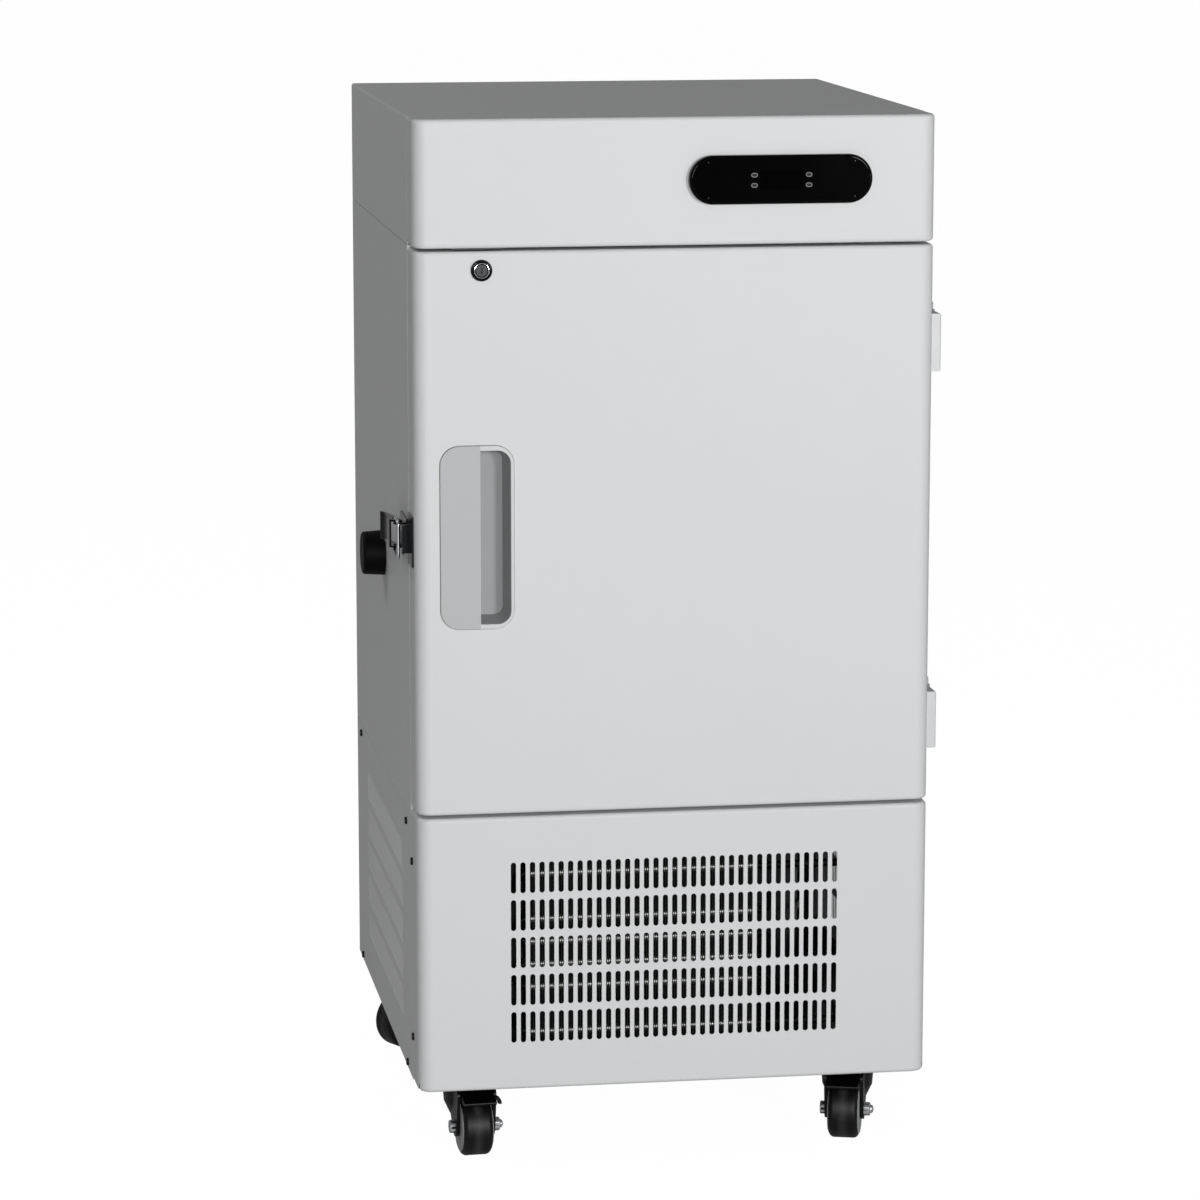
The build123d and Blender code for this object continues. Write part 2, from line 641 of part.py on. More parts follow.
def control_fascia():
    """Front of the top housing, with the opening behind the display and the lock's slot."""
    pan = front_pan(Z_FASCIA, FASCIA_HEIGHT)
    width, height, _ = DISPLAY_BOSS
    half = (width / 2 + FIT_GAP, height / 2 + FIT_GAP)
    x = (DISPLAY_RIGHT - half[0], DISPLAY_RIGHT + half[0])
    pan -= slab(x, (Y_FRONT - SHEET, Y_FRONT + 2 * SHEET), (DISPLAY_Z - half[1], DISPLAY_Z + half[1]))
    return pan - cam_slot(Z_FASCIA)


def key_places():
    """Centres of the four keys as (x, z)."""
    return [
        (DISPLAY_RIGHT + side * KEY_SPREAD / 2, DISPLAY_Z + row * KEY_ROWS / 2 - FIT_GAP)
        for side in (-1, 1)
        for row in (1, -1)
    ]


def display_pod():
    """Pill-shaped display housing on the fascia, with wells for the keys and the window."""
    face = upright_face(DISPLAY_RIGHT, Y_FRONT, DISPLAY_Z)
    outline = RectangleRounded(DISPLAY_WIDTH, DISPLAY_HEIGHT, DISPLAY_END_RADIUS)
    pod = extrude(face * outline, DISPLAY_PROUD)
    pod = fillet(pod.faces().sort_by(Axis.Y)[0].edges(), DISPLAY_EDGE_RADIUS)
    width, height, depth = DISPLAY_BOSS
    pod += extrude(face * Rectangle(width, height), -depth)
    front = Y_FRONT - DISPLAY_PROUD
    well = SlotOverall(KEY_SIZE[0] + 2 * KEY_CLEARANCE, KEY_SIZE[1] + 2 * KEY_CLEARANCE)
    for x, z in key_places():
        pod -= extrude(upright_face(x, front, z) * well, -(KEY_DEPTH - KEY_PROUD + KEY_WELL))
    recess = upright_face(DISPLAY_RIGHT, front, DISPLAY_Z) * Rectangle(*WINDOW_SIZE)
    return pod - extrude(recess, -WINDOW_DEPTH)


def display_window():
    """Clear window set flush in the pod."""
    face = upright_face(DISPLAY_RIGHT, Y_FRONT - DISPLAY_PROUD, DISPLAY_Z)
    return extrude(face * Rectangle(*WINDOW_SIZE), -WINDOW_DEPTH)


def display_key(x, z):
    """Oval key that stands a little out of its well."""
    face = upright_face(x, Y_FRONT - DISPLAY_PROUD - KEY_PROUD, z)
    key = extrude(face * SlotOverall(*KEY_SIZE), -KEY_DEPTH)
    return fillet(key.faces().sort_by(Axis.Y)[0].edges(), KEY_PROUD / 2)


def controller_board():
    """Circuit board on the back of the display pod, with its relay and transformer blocks."""
    width, height, thickness = BOARD_SIZE
    back = Y_FRONT + DISPLAY_BOSS[2]
    board = extrude(upright_face(DISPLAY_RIGHT, back, DISPLAY_Z) * Rectangle(width, height), -thickness)
    face = back + thickness
    for share in (-1, 0, 1):
        x = DISPLAY_RIGHT + share * width / 3
        part = (width / 10, height / 4 + share * height / 12)
        y = (face, face + height / 3)
        board += slab((x - part[0], x + part[0]), y, (DISPLAY_Z - part[1], DISPLAY_Z + part[1]))
    return board


def pocket_outline(left, right, height):
    """Rounded outline of the finger pocket about its own middle."""
    return RectangleRounded(right - left, height, POCKET_RADIUS)


def cup_outer(margin):
    """Drafted outside of the handle cup, grown by a margin."""
    middle = (POCKET_LEFT + POCKET_RIGHT) / 2
    face = upright_face(middle, cup_front(), HANDLE_Z)
    grow = CUP_WALL + margin
    outline = RectangleRounded(
        POCKET_RIGHT - POCKET_LEFT + 2 * grow, POCKET_HEIGHT + 2 * grow, POCKET_RADIUS + grow
    )
    return extrude(face * outline, -(CUP_DEPTH + CUP_WALL + margin), taper=CUP_TAPER)


def cup_front():
    """Plane where the handle cup meets the back of the handle frame."""
    return Y_FRONT - HANDLE_PROUD + HANDLE_PLATE


def handle_cup():
    """Finger pocket behind the handle frame, reaching behind the grip."""
    middle = (POCKET_LEFT + POCKET_RIGHT) / 2
    face = upright_face(middle, cup_front(), HANDLE_Z)
    inside = extrude(
        face * pocket_outline(POCKET_LEFT, POCKET_RIGHT, POCKET_HEIGHT), -CUP_DEPTH, taper=CUP_TAPER
    )
    return cup_outer(0) - inside


def handle_frame():
    """Front plate of the handle: a wide grip on the left and a window to the pocket."""
    face = upright_face(HANDLE_X, Y_FRONT - HANDLE_PROUD, HANDLE_Z)
    plate = extrude(face * RectangleRounded(HANDLE_WIDTH, HANDLE_HEIGHT, HANDLE_RADIUS), -HANDLE_PLATE)
    plate = fillet(plate.faces().sort_by(Axis.Y)[0].edges(), HANDLE_PROUD / 2)
    grip_edge = HANDLE_LEFT + GRIP_WIDTH
    front = Y_FRONT - HANDLE_PROUD
    pocket = upright_face((POCKET_LEFT + POCKET_RIGHT) / 2, front, HANDLE_Z)
    window = extrude(pocket * pocket_outline(POCKET_LEFT, POCKET_RIGHT, POCKET_HEIGHT), -HANDLE_PLATE)
    z = (HANDLE_Z - HANDLE_HEIGHT / 2, HANDLE_Z + HANDLE_HEIGHT / 2)
    seam = slab((grip_edge - GRIP_SEAM, grip_edge), (front, front + GRIP_SEAM), z)
    return plate - (window & slab((grip_edge, POCKET_RIGHT), (front, front + HANDLE_PLATE), z)) - seam


def door_skin():
    """Outer pan of the door, cut for the handle, the lock and the lock's cam."""
    pan = front_pan(Z_DOOR, DOOR_HEIGHT)
    face = upright_face(HANDLE_X, Y_FRONT - SHEET, HANDLE_Z)
    reach = 2 * FIT_GAP
    seat = RectangleRounded(HANDLE_WIDTH + reach, HANDLE_HEIGHT + reach, HANDLE_RADIUS + FIT_GAP)
    pan -= extrude(face * seat, -3 * SHEET)
    start = (LOCK_X, Y_FRONT - SHEET, LOCK_Z)
    pan -= rod(start, (LOCK_X, Y_FRONT + 2 * SHEET, LOCK_Z), LOCK_BODY_RADIUS + FIT_GAP)
    return pan - cam_slot(Z_DOOR_TOP - SHEET)


def door_foam():
    """Foam core of the door and its plug, hollowed round the handle cup and the lock."""
    inset = SHEET + FIT_GAP
    front = Y_FRONT + inset
    depth = Y_DOOR_LINER - LINER_SHEET - front
    core = soft_block(
        WIDTH - 2 * inset, depth, DOOR_HEIGHT - 2 * inset, CORNER_RADIUS - inset, EDGE_RADIUS - inset
    )
    core = Pos(0, front, Z_DOOR + inset) * core
    half = PLUG_HALF - LINER_SHEET - PLUG_RADIUS
    z = (Z_PLUG + LINER_SHEET + PLUG_RADIUS, Z_PLUG_TOP - LINER_SHEET - PLUG_RADIUS)
    core += slab((-half, half), (Y_DOOR_LINER - LINER_SHEET, Y_BODY + PLUG_REACH - LINER_SHEET - FIT_GAP), z)
    frame = upright_face(HANDLE_X, front, HANDLE_Z)
    reach = 2 * FIT_GAP
    seat = RectangleRounded(HANDLE_WIDTH + reach, HANDLE_HEIGHT + reach, HANDLE_RADIUS + FIT_GAP)
    core -= extrude(frame * seat, -(HANDLE_PLATE - HANDLE_PROUD))
    core -= cup_outer(FIT_GAP)
    swing = CAM_LENGTH + CAM_WIDTH / 2
    room = (LOCK_X - swing, LOCK_X + CAM_WIDTH)
    return core - slab(room, (front, Y_CAM + 2 * CAM_THICKNESS), (LOCK_Z - CAM_WIDTH, Z_DOOR_TOP))


def door_liner():
    """Inner plate of the door with the hollow plug that fills the chamber's mouth."""
    inset = SHEET + FIT_GAP
    middle = Z_DOOR + DOOR_HEIGHT / 2
    face = upright_face(0, Y_DOOR_LINER, middle)
    plate = RectangleRounded(WIDTH - 2 * inset, DOOR_HEIGHT - 2 * inset, EDGE_RADIUS)
    liner = extrude(face * plate, LINER_SHEET)
    reach = Y_BODY + PLUG_REACH - Y_DOOR_LINER
    plug_face = upright_face(0, Y_DOOR_LINER, (Z_PLUG + Z_PLUG_TOP) / 2)
    size = (2 * PLUG_HALF, Z_PLUG_TOP - Z_PLUG)
    plug = extrude(plug_face * RectangleRounded(*size, PLUG_RADIUS), -reach)
    plug = fillet(plug.faces().sort_by(Axis.Y)[-1].edges(), PLUG_NOSE_RADIUS)
    inner = [side - 2 * LINER_SHEET for side in size]
    hollow_face = upright_face(0, Y_DOOR_LINER - 2 * LINER_SHEET, (Z_PLUG + Z_PLUG_TOP) / 2)
    hollow = extrude(
        hollow_face * RectangleRounded(*inner, PLUG_RADIUS - LINER_SHEET), -(reach + LINER_SHEET)
    )
    return liner + plug - hollow


def door_gasket():
    """Soft seal round the plug, seated on the liner and just clear of the flange."""
    middle = Z_DOOR + DOOR_HEIGHT / 2
    face = upright_face(0, Y_DOOR_LINER, middle)
    size = (WIDTH - 2 * GASKET_INSET, DOOR_HEIGHT - 2 * GASKET_INSET)
    outer = RectangleRounded(*size, GASKET_INSET)
    inner = RectangleRounded(*[side - 2 * GASKET_WIDTH for side in size], GASKET_INSET / 2)
    return extrude(face * (outer - inner), -GASKET_DEPTH)


def lock_barrel():
    """Cam lock body with its round front ring."""
    face = (LOCK_X, Y_FRONT, LOCK_Z)
    front = (LOCK_X, Y_FRONT - LOCK_RING_PROUD, LOCK_Z)
    back = (LOCK_X, Y_FRONT + LOCK_BODY_LENGTH, LOCK_Z)
    ring = rod(face, front, LOCK_RING_RADIUS)
    ring = fillet(ring.edges().sort_by(Axis.Y)[0], LOCK_RING_PROUD / 2)
    barrel = ring + rod(face, back, LOCK_BODY_RADIUS)
    return barrel - rod(front, back, LOCK_CORE_RADIUS + LOCK_RUNNING_GAP)


def lock_core():
    """Turning core of the lock with its key slot and the cam at its back."""
    front = Y_FRONT - LOCK_RING_PROUD + LOCK_CORE_RECESS
    core = rod((LOCK_X, front, LOCK_Z), (LOCK_X, Y_CAM + CAM_THICKNESS, LOCK_Z), LOCK_CORE_RADIUS)
    width, height, depth = KEY_SLOT
    slot_x = (LOCK_X - width / 2, LOCK_X + width / 2)
    core -= slab(slot_x, (front, front + depth), (LOCK_Z - height / 2, LOCK_Z + height / 2))
    tip = CAM_LENGTH - CAM_WIDTH / 2
    outline = hull_of((0, 0, CAM_WIDTH / 2), (-tip, 0, CAM_WIDTH / 2))
    cam = extrude(upright_face(LOCK_X, Y_CAM, LOCK_Z) * outline, -CAM_THICKNESS)
    return core + cam


def hinge_levels():
    """Heights of the hinges' middles."""
    return [Z_DOOR + up for up in HINGE_UPS]


def hinge_half(thickness, turn):
    """Plan of a leaf and of its knuckle about the pin, for the side given by turn."""
    inner = -HINGE_OUT
    near, far = turn * HINGE_LEAF_START, turn * (HINGE_LEAF_START + HINGE_LEAF)
    leaf = Pos(inner + thickness / 2, (near + far) / 2) * Rectangle(thickness, HINGE_LEAF)
    corner = HINGE_EDGE
    knuckle = hull_of(
        (0, 0, HINGE_BARREL),
        (inner + corner, near + turn * corner, corner),
        (inner + thickness - corner, near + turn * corner, corner),
    )
    return leaf, knuckle


def hinge_door_leaves():
    """Blocks on the door's side whose knuckles sit above the fixed ones."""
    leaf, knuckle = hinge_half(HINGE_THICKNESS, -1)
    half = HINGE_HEIGHT / 2
    leaves = []
    for z in hinge_levels():
        block = extrude(Pos(HINGE_X, HINGE_Y, z - half) * leaf, HINGE_HEIGHT)
        block = fillet(block.faces().sort_by(Axis.X)[-1].edges(), HINGE_EDGE)
        block += extrude(Pos(HINGE_X, HINGE_Y, z + HINGE_LIFT) * knuckle, half - HINGE_LIFT)
        bore = rod((HINGE_X, HINGE_Y, z - half), (HINGE_X, HINGE_Y, z + half), HINGE_PIN + HINGE_PIN_GAP)
        leaves.append(block - bore)
    return Compound(children=leaves)


def hinge_fixed_leaves():
    """Blocks on the cabinet's side with the lower knuckle and the capped pin."""
    leaf, knuckle = hinge_half(HINGE_FIXED_THICKNESS, 1)
    half = HINGE_HEIGHT / 2
    leaves = []
    for z in hinge_levels():
        block = extrude(Pos(HINGE_X, HINGE_Y, z - half) * leaf, HINGE_HEIGHT)
        block = fillet(block.faces().sort_by(Axis.X)[-1].edges(), HINGE_EDGE)
        block += extrude(Pos(HINGE_X, HINGE_Y, z - half) * knuckle, half)
        cap_z = z + half + HINGE_LIFT
        block += rod((HINGE_X, HINGE_Y, z - half), (HINGE_X, HINGE_Y, cap_z + HINGE_LIFT), HINGE_PIN)
        cap = rod((HINGE_X, HINGE_Y, cap_z), (HINGE_X, HINGE_Y, cap_z + HINGE_CAP_HEIGHT), HINGE_CAP_RADIUS)
        leaves.append(block + fillet(cap.edges().sort_by(Axis.Z)[-1], HINGE_EDGE))
    return Compound(children=leaves)


def latch_plan(outline, low, high):
    """Prism of a plan outline given from the latch pivot, outwards positive, between two heights."""
    plane = Plane(origin=(LATCH_X, LATCH_Y, LATCH_Z + low), x_dir=(-1, 0, 0), z_dir=(0, 0, -1))
    return extrude(plane * outline, -(high - low))


def latch_base():
    """Plate on the cabinet's side with two ears and the lever's pin."""
    x = (-HALF_WIDTH - LATCH_PLATE, -HALF_WIDTH)
    y = (Y_BODY + LATCH_START, Y_BODY + LATCH_START + LATCH_LENGTH)
    base = slab(x, y, (LATCH_Z - LATCH_HALF, LATCH_Z + LATCH_HALF))
    foot = LATCH_PLATE / 2 - LATCH_PIVOT_OUT
    ear = hull_of((0, 0, EAR_RADIUS), (foot, -EAR_RADIUS, LATCH_PLATE / 2), (foot, EAR_RADIUS, LATCH_PLATE / 2))
    for low in (EAR_INNER, -EAR_INNER - EAR_WALL):
        base += latch_plan(ear, low, low + EAR_WALL)
    reach = EAR_INNER + EAR_WALL + LATCH_SIDE_GAP + LEVER_WALL + LATCH_SIDE_GAP
    return base + latch_plan(Circle(LATCH_PIN), -reach, reach)


def latch_lever():
    """Channel lever over the ears, with a turned-out finger tab."""
    inner = EAR_INNER + EAR_WALL + LATCH_SIDE_GAP
    outer = inner + LEVER_WALL
    web = LEVER_WALL / 2
    near, far = (LEVER_WEB_OUT, LEVER_WEB_START, web), (LEVER_WEB_OUT, LEVER_WEB_END, web)
    cheek = hull_of((0, 0, LEVER_BOSS), near, far)
    cheek -= Circle(LATCH_PIN + LATCH_GAP) + Pos(*BAIL_PIVOT) * Circle(BAIL_WIRE + LATCH_GAP)
    lever = latch_plan(cheek, inner, outer) + latch_plan(cheek, -outer, -inner)
    lever += latch_plan(hull_of(near, far), -outer, outer)
    tip = (LEVER_WEB_OUT + LEVER_TAB[0], LEVER_WEB_END + LEVER_TAB[1], web)
    return lever + latch_plan(hull_of(far, tip), -outer, outer)


def latch_bail():
    """Wire loop pivoted in the lever's cheeks, resting just outside the keeper's hook."""
    x, y = LATCH_X - BAIL_PIVOT[0], LATCH_Y + BAIL_PIVOT[1]
    bar_x, bar_y = -HALF_WIDTH - BAIL_BAR_OUT, Y_FRONT + BAIL_BAR_BACK
    end = EAR_INNER + EAR_WALL + LATCH_SIDE_GAP
    upper = [(x, y, end), (x, y, BAIL_HALF), (bar_x, bar_y, BAIL_HALF)]
    points = upper + [(px, py, -pz) for px, py, pz in reversed(upper)]
    return Pos(0, 0, LATCH_Z) * pipe(points, BAIL_BEND, BAIL_WIRE)


def latch_keeper():
    """Plate on the door's side with a hook that the bail goes over."""
    face = -HALF_WIDTH
    y = (Y_FRONT + KEEPER_START, Y_FRONT + KEEPER_START + KEEPER_LENGTH)
    plate = slab((face - LATCH_PLATE, face), y, (LATCH_Z - KEEPER_HALF, LATCH_Z + KEEPER_HALF))
    z = (LATCH_Z - KEEPER_HOOK_HALF, LATCH_Z + KEEPER_HOOK_HALF)
    root = Y_FRONT + KEEPER_HOOK_BACK
    tip = face - KEEPER_HOOK_OUT
    stem = slab((tip, face - LATCH_PLATE), (root - LATCH_PLATE, root), z)
    lip = slab((tip, tip + LATCH_PLATE), (root - LATCH_PLATE - KEEPER_HOOK_LIP, root), z)
    return plate + stem + lip


def caster_places():
    """Pivot of each caster as (x, y)."""
    x, y = HALF_WIDTH - CASTER_INSET_X, DEPTH / 2 - CASTER_INSET_Y
    return {"fl": (-x, -y), "fr": (x, -y), "rl": (-x, y), "rr": (x, y)}


def at_caster(name, shape):
    """Put a shape made about the pivot, wheel towards -Y, in its caster's place and turn."""
    x, y = caster_places()[name]
    return Pos(x, y, 0) * Rot(0, 0, CASTER_TURNS[name]) * shape


def side_profile(outline, low, high):
    """Prism along X of an outline drawn in the YZ plane."""
    return extrude(Plane(origin=(low, 0, 0), x_dir=(0, 1, 0), z_dir=(1, 0, 0)) * outline, high - low)


def crown_top():
    """Height of the fork crown's upper face, just under the fixed race."""
    return CASTER_HEIGHT - PLATE_SIZE[2] - RACE_HEIGHT - RACE_GAP


def caster_plate():
    """Top plate with the fixed race and the king pin that holds the fork."""
    width, depth, thickness = PLATE_SIZE
    low = CASTER_HEIGHT - thickness
    plate = Pos(0, 0, low) * extrude(RectangleRounded(width, depth, PLATE_CORNER), thickness)
    plate += rod((0, 0, low), (0, 0, low - RACE_HEIGHT), RACE_RADIUS)
    head_top = crown_top() - CROWN_HEIGHT - RACE_GAP
    plate += rod((0, 0, low), (0, 0, head_top), KING_PIN_RADIUS)
    return plate + rod((0, 0, head_top), (0, 0, head_top - KING_HEAD_HEIGHT), KING_HEAD_RADIUS)


def caster_plates():
    """The four top plates."""
    return Compound(children=[at_caster(name, caster_plate()) for name in CASTER_TURNS])


def fork_cheeks(crown_low):
    """Round cheeks that carry the crown's width down and bend in to the legs, open for the wheel."""
    end = crown_low - CHEEK_END_DROP
    profile = [
        (0, crown_low),
        (CROWN_RADIUS, crown_low),
        (CHEEK_RADIUS, crown_low - CHEEK_BEND_DROP),
        (FORK_INNER + FORK_WALL, end),
        (0, end),
    ]
    bell = revolve(Plane.XZ * make_face(Polyline(*profile, close=True)), Axis.Z)
    return bell - slab((-FORK_INNER, FORK_INNER), (-CROWN_RADIUS, CROWN_RADIUS), (end, crown_low))


def caster_fork(braked):
    """Pressed fork with its axle bolt, and the pedal's pin where it has a brake."""
    top = crown_top()
    low = top - CROWN_HEIGHT
    crown = rod((0, 0, low), (0, 0, top), CROWN_RADIUS)
    crown = fillet(crown.edges().sort_by(Axis.Z)[-1], CROWN_EDGE)
    shoulder = low + FORK_SHOULDER_RADIUS
    discs = [
        (-TRAIL, WHEEL_RADIUS, FORK_EYE),
        (CROWN_RADIUS - CROWN_EDGE, shoulder, FORK_SHOULDER_RADIUS),
        (-CROWN_RADIUS + CROWN_EDGE, shoulder, FORK_SHOULDER_RADIUS),
    ]
    if braked:
        discs.append((-BRAKE_PIN_OUT, BRAKE_PIN_UP, BRAKE_EYE))
    leg = hull_of(*discs)
    inner, outer = FORK_INNER, FORK_INNER + FORK_WALL
    fork = crown + side_profile(leg, inner, outer) + side_profile(leg, -outer, -inner) + fork_cheeks(low)
    fork -= rod((0, 0, low), (0, 0, top), KING_PIN_RADIUS + KING_PIN_GAP)
    fork += rod((-outer, -TRAIL, WHEEL_RADIUS), (outer, -TRAIL, WHEEL_RADIUS), AXLE_RADIUS)
    hexagon = Pos(-TRAIL, WHEEL_RADIUS) * RegularPolygon(AXLE_HEAD, 6)
    fork += side_profile(hexagon, outer, outer + AXLE_HEAD_HEIGHT)
    fork += side_profile(hexagon, -outer - AXLE_HEAD_HEIGHT, -outer)
    if braked:
        pin = (-BRAKE_PIN_OUT, BRAKE_PIN_UP)
        fork += rod((-outer, *pin), (outer, *pin), BRAKE_PIN_RADIUS)
    return fork


def caster_wheel():
    """Wheel with a round-shouldered tread, dished sides and a long hub."""
    hub = FORK_INNER - WHEEL_HUB_GAP
    rim, web = WHEEL_WIDTH / 2, WHEEL_WEB_WIDTH / 2
    bore = AXLE_RADIUS + AXLE_GAP
    dish = (rim - web) / 2
    half = [
        (hub, bore),
        (hub, WHEEL_HUB_RADIUS),
        (web, WHEEL_HUB_RADIUS + dish),
        (web, WHEEL_RIM_RADIUS - dish),
        (rim, WHEEL_RIM_RADIUS),
        (rim, WHEEL_RADIUS),
    ]
    profile = make_face(Polyline(*half, *[(-x, r) for x, r in reversed(half)], close=True))
    shoulders = profile.vertices().group_by(Axis.Y)[-1]
    wheel = revolve(fillet(shoulders, WHEEL_SHOULDER), Axis.X)
    return Pos(0, -TRAIL, WHEEL_RADIUS) * wheel


def brake_pedal():
    """Pedal on the fork's front pin."""
    out, up, radius = BRAKE_TIP
    outline = hull_of((-BRAKE_PIN_OUT, BRAKE_PIN_UP, BRAKE_BOSS), (-out, up, radius))
    outline -= Pos(-BRAKE_PIN_OUT, BRAKE_PIN_UP) * Circle(BRAKE_PIN_RADIUS + BRAKE_PIN_GAP)
    half = FORK_INNER - BRAKE_SIDE_GAP
    return side_profile(outline, -half, half)


def condenser_heights():
    """Heights of the condenser's horizontal tube runs."""
    return [Z_BASE + CONDENSER_LOWEST + run * CONDENSER_PITCH for run in range(CONDENSER_RUNS)]


def condenser_tubes():
    """One tube in horizontal runs joined by return bends, with both tails at the right."""
    left, right = CONDENSER_LEFT - CONDENSER_TAIL, CONDENSER_RIGHT + CONDENSER_TAIL
    points = []
    for index, z in enumerate(condenser_heights()):
        ends = (right, left) if index % 2 == 0 else (left, right)
        points += [(x, Y_TUBES, z) for x in ends]
    return pipe(points, BEND_SHARE * CONDENSER_PITCH, CONDENSER_TUBE)


def condenser_core():
    """Fin pack behind the tubes, between the two end plates that stand on the tray."""
    top = Z_BASE + CONDENSER_TOP + CONDENSER_MARGIN
    low = Z_BASE + CONDENSER_LOWEST - CONDENSER_MARGIN
    core = slab((CONDENSER_LEFT, CONDENSER_RIGHT), (Y_CORE, Y_SHROUD), (low, top))
    front = Y_TUBES - CONDENSER_TUBE - CONDENSER_PLATE_FRONT
    for edge in (CONDENSER_LEFT - CONDENSER_PLATE, CONDENSER_RIGHT):
        plate = slab((edge, edge + CONDENSER_PLATE), (front, Y_SHROUD), (Z_TRAY, top + CONDENSER_PLATE_TOP))
        for z in condenser_heights():
            start = (edge - CONDENSER_PLATE, Y_TUBES, z)
            end = (edge + 2 * CONDENSER_PLATE, Y_TUBES, z)
            plate -= rod(start, end, CONDENSER_TUBE + CONDENSER_TUBE_GAP)
        core += plate
    return core


def fan_shroud():
    """Plate behind the condenser with a round collar for the fan."""
    low, top = Z_BASE + CONDENSER_LOWEST - CONDENSER_MARGIN, Z_BASE + CONDENSER_TOP + CONDENSER_MARGIN
    y = (Y_SHROUD, Y_SHROUD + SHROUD_SHEET)
    x = (CONDENSER_LEFT - CONDENSER_PLATE, CONDENSER_RIGHT + CONDENSER_PLATE)
    bore = FAN_RADIUS + FAN_TIP_GAP
    shroud = slab(x, y, (low, top))
    shroud += rod((FAN_X, y[0], FAN_Z), (FAN_X, y[1] + SHROUD_COLLAR, FAN_Z), bore + SHROUD_COLLAR_WALL)
    return shroud - rod((FAN_X, y[0], FAN_Z), (FAN_X, y[1] + SHROUD_COLLAR, FAN_Z), bore)


def fan_back():
    """Plane of the fan hub's rear face."""
    return Y_SHROUD + SHROUD_SHEET + FAN_STANDOFF + FAN_HUB_LENGTH


def fan_blade():
    """Axial fan: pitched blades on a hub, with its shaft behind."""
    back = fan_back()
    front = back - FAN_HUB_LENGTH
    fan = rod((FAN_X, front, FAN_Z), (FAN_X, back, FAN_Z), FAN_HUB_RADIUS)
    middle = (front + back) / 2
    span = FAN_RADIUS - FAN_HUB_RADIUS / 2
    blade = Box(FAN_BLADE_CHORD, FAN_BLADE_WALL, span, align=(Align.CENTER, Align.CENTER, Align.MIN))
    blade = Pos(0, 0, FAN_HUB_RADIUS / 2) * Rot(0, 0, FAN_BLADE_PITCH) * blade
    sweep_room = rod((0, -FAN_HUB_LENGTH, 0), (0, FAN_HUB_LENGTH, 0), FAN_RADIUS)
    blade = blade & sweep_room
    for index in range(FAN_BLADES):
        fan += Pos(FAN_X, middle, FAN_Z) * Rot(0, 360 / FAN_BLADES * index, 0) * blade
    return fan + rod((FAN_X, back, FAN_Z), (FAN_X, back + FAN_SHAFT_LENGTH, FAN_Z), FAN_SHAFT)


def fan_motor():
    """Fan motor held behind the blade by flat arms from the shroud's plate."""
    front = fan_back() + FAN_MOTOR_GAP
    motor = rod((FAN_X, front, FAN_Z), (FAN_X, front + MOTOR_LENGTH, FAN_Z), MOTOR_RADIUS)
    motor = fillet(motor.edges().sort_by(Axis.Y)[-1], EDGE_RADIUS)
    depth = FAN_SHAFT_LENGTH - FAN_MOTOR_GAP + MOTOR_BORE_SPARE
    motor -= rod((FAN_X, front, FAN_Z), (FAN_X, front + depth, FAN_Z), FAN_SHAFT + FAN_SHAFT_GAP)
    width, wall = MOTOR_ARM
    reach = FAN_RADIUS + FAN_TIP_GAP + SHROUD_COLLAR_WALL
    plate = Y_SHROUD + SHROUD_SHEET
    arm = slab((-width / 2, width / 2), (front, front + wall), (MOTOR_RADIUS - wall, reach + 2 * wall))
    arm += slab((-width / 2, width / 2), (plate, front + wall), (reach + wall, reach + 2 * wall))
    for index in range(MOTOR_ARMS):
        motor += Pos(FAN_X, 0, FAN_Z) * Rot(0, 360 / MOTOR_ARMS * (index + 0.5), 0) * arm
    return motor


def compressor():
    """Hermetic compressor: a domed can with a weld seam, on a foot plate."""
    bulge, band = COMPRESSOR_SEAM
    can = rod((0, 0, 0), (0, 0, COMPRESSOR_HEIGHT), COMPRESSOR_RADIUS)
    can = fillet(can.edges().sort_by(Axis.Z)[-1], COMPRESSOR_DOME)
    seam_low = (COMPRESSOR_HEIGHT - COMPRESSOR_DOME) / 2
    can += rod((0, 0, seam_low), (0, 0, seam_low + band), COMPRESSOR_RADIUS + bulge)
    half = FOOT_SPREAD + FOOT_PLATE_MARGIN
    can += slab((-half, half), (-half, half), (0, FOOT_PLATE))
    return Pos(*COMPRESSOR_PLACE, Z_COMPRESSOR) * can


def compressor_feet():
    """Rubber feet between the tray and the compressor's foot plate."""
    x, y = COMPRESSOR_PLACE
    feet = []
    for place in GridLocations(2 * FOOT_SPREAD, 2 * FOOT_SPREAD, 2, 2):
        px, py = x + place.position.X, y + place.position.Y
        foot = rod((px, py, Z_TRAY), (px, py, Z_COMPRESSOR), FOOT_RADIUS)
        feet.append(foot)
    return Compound(children=feet)


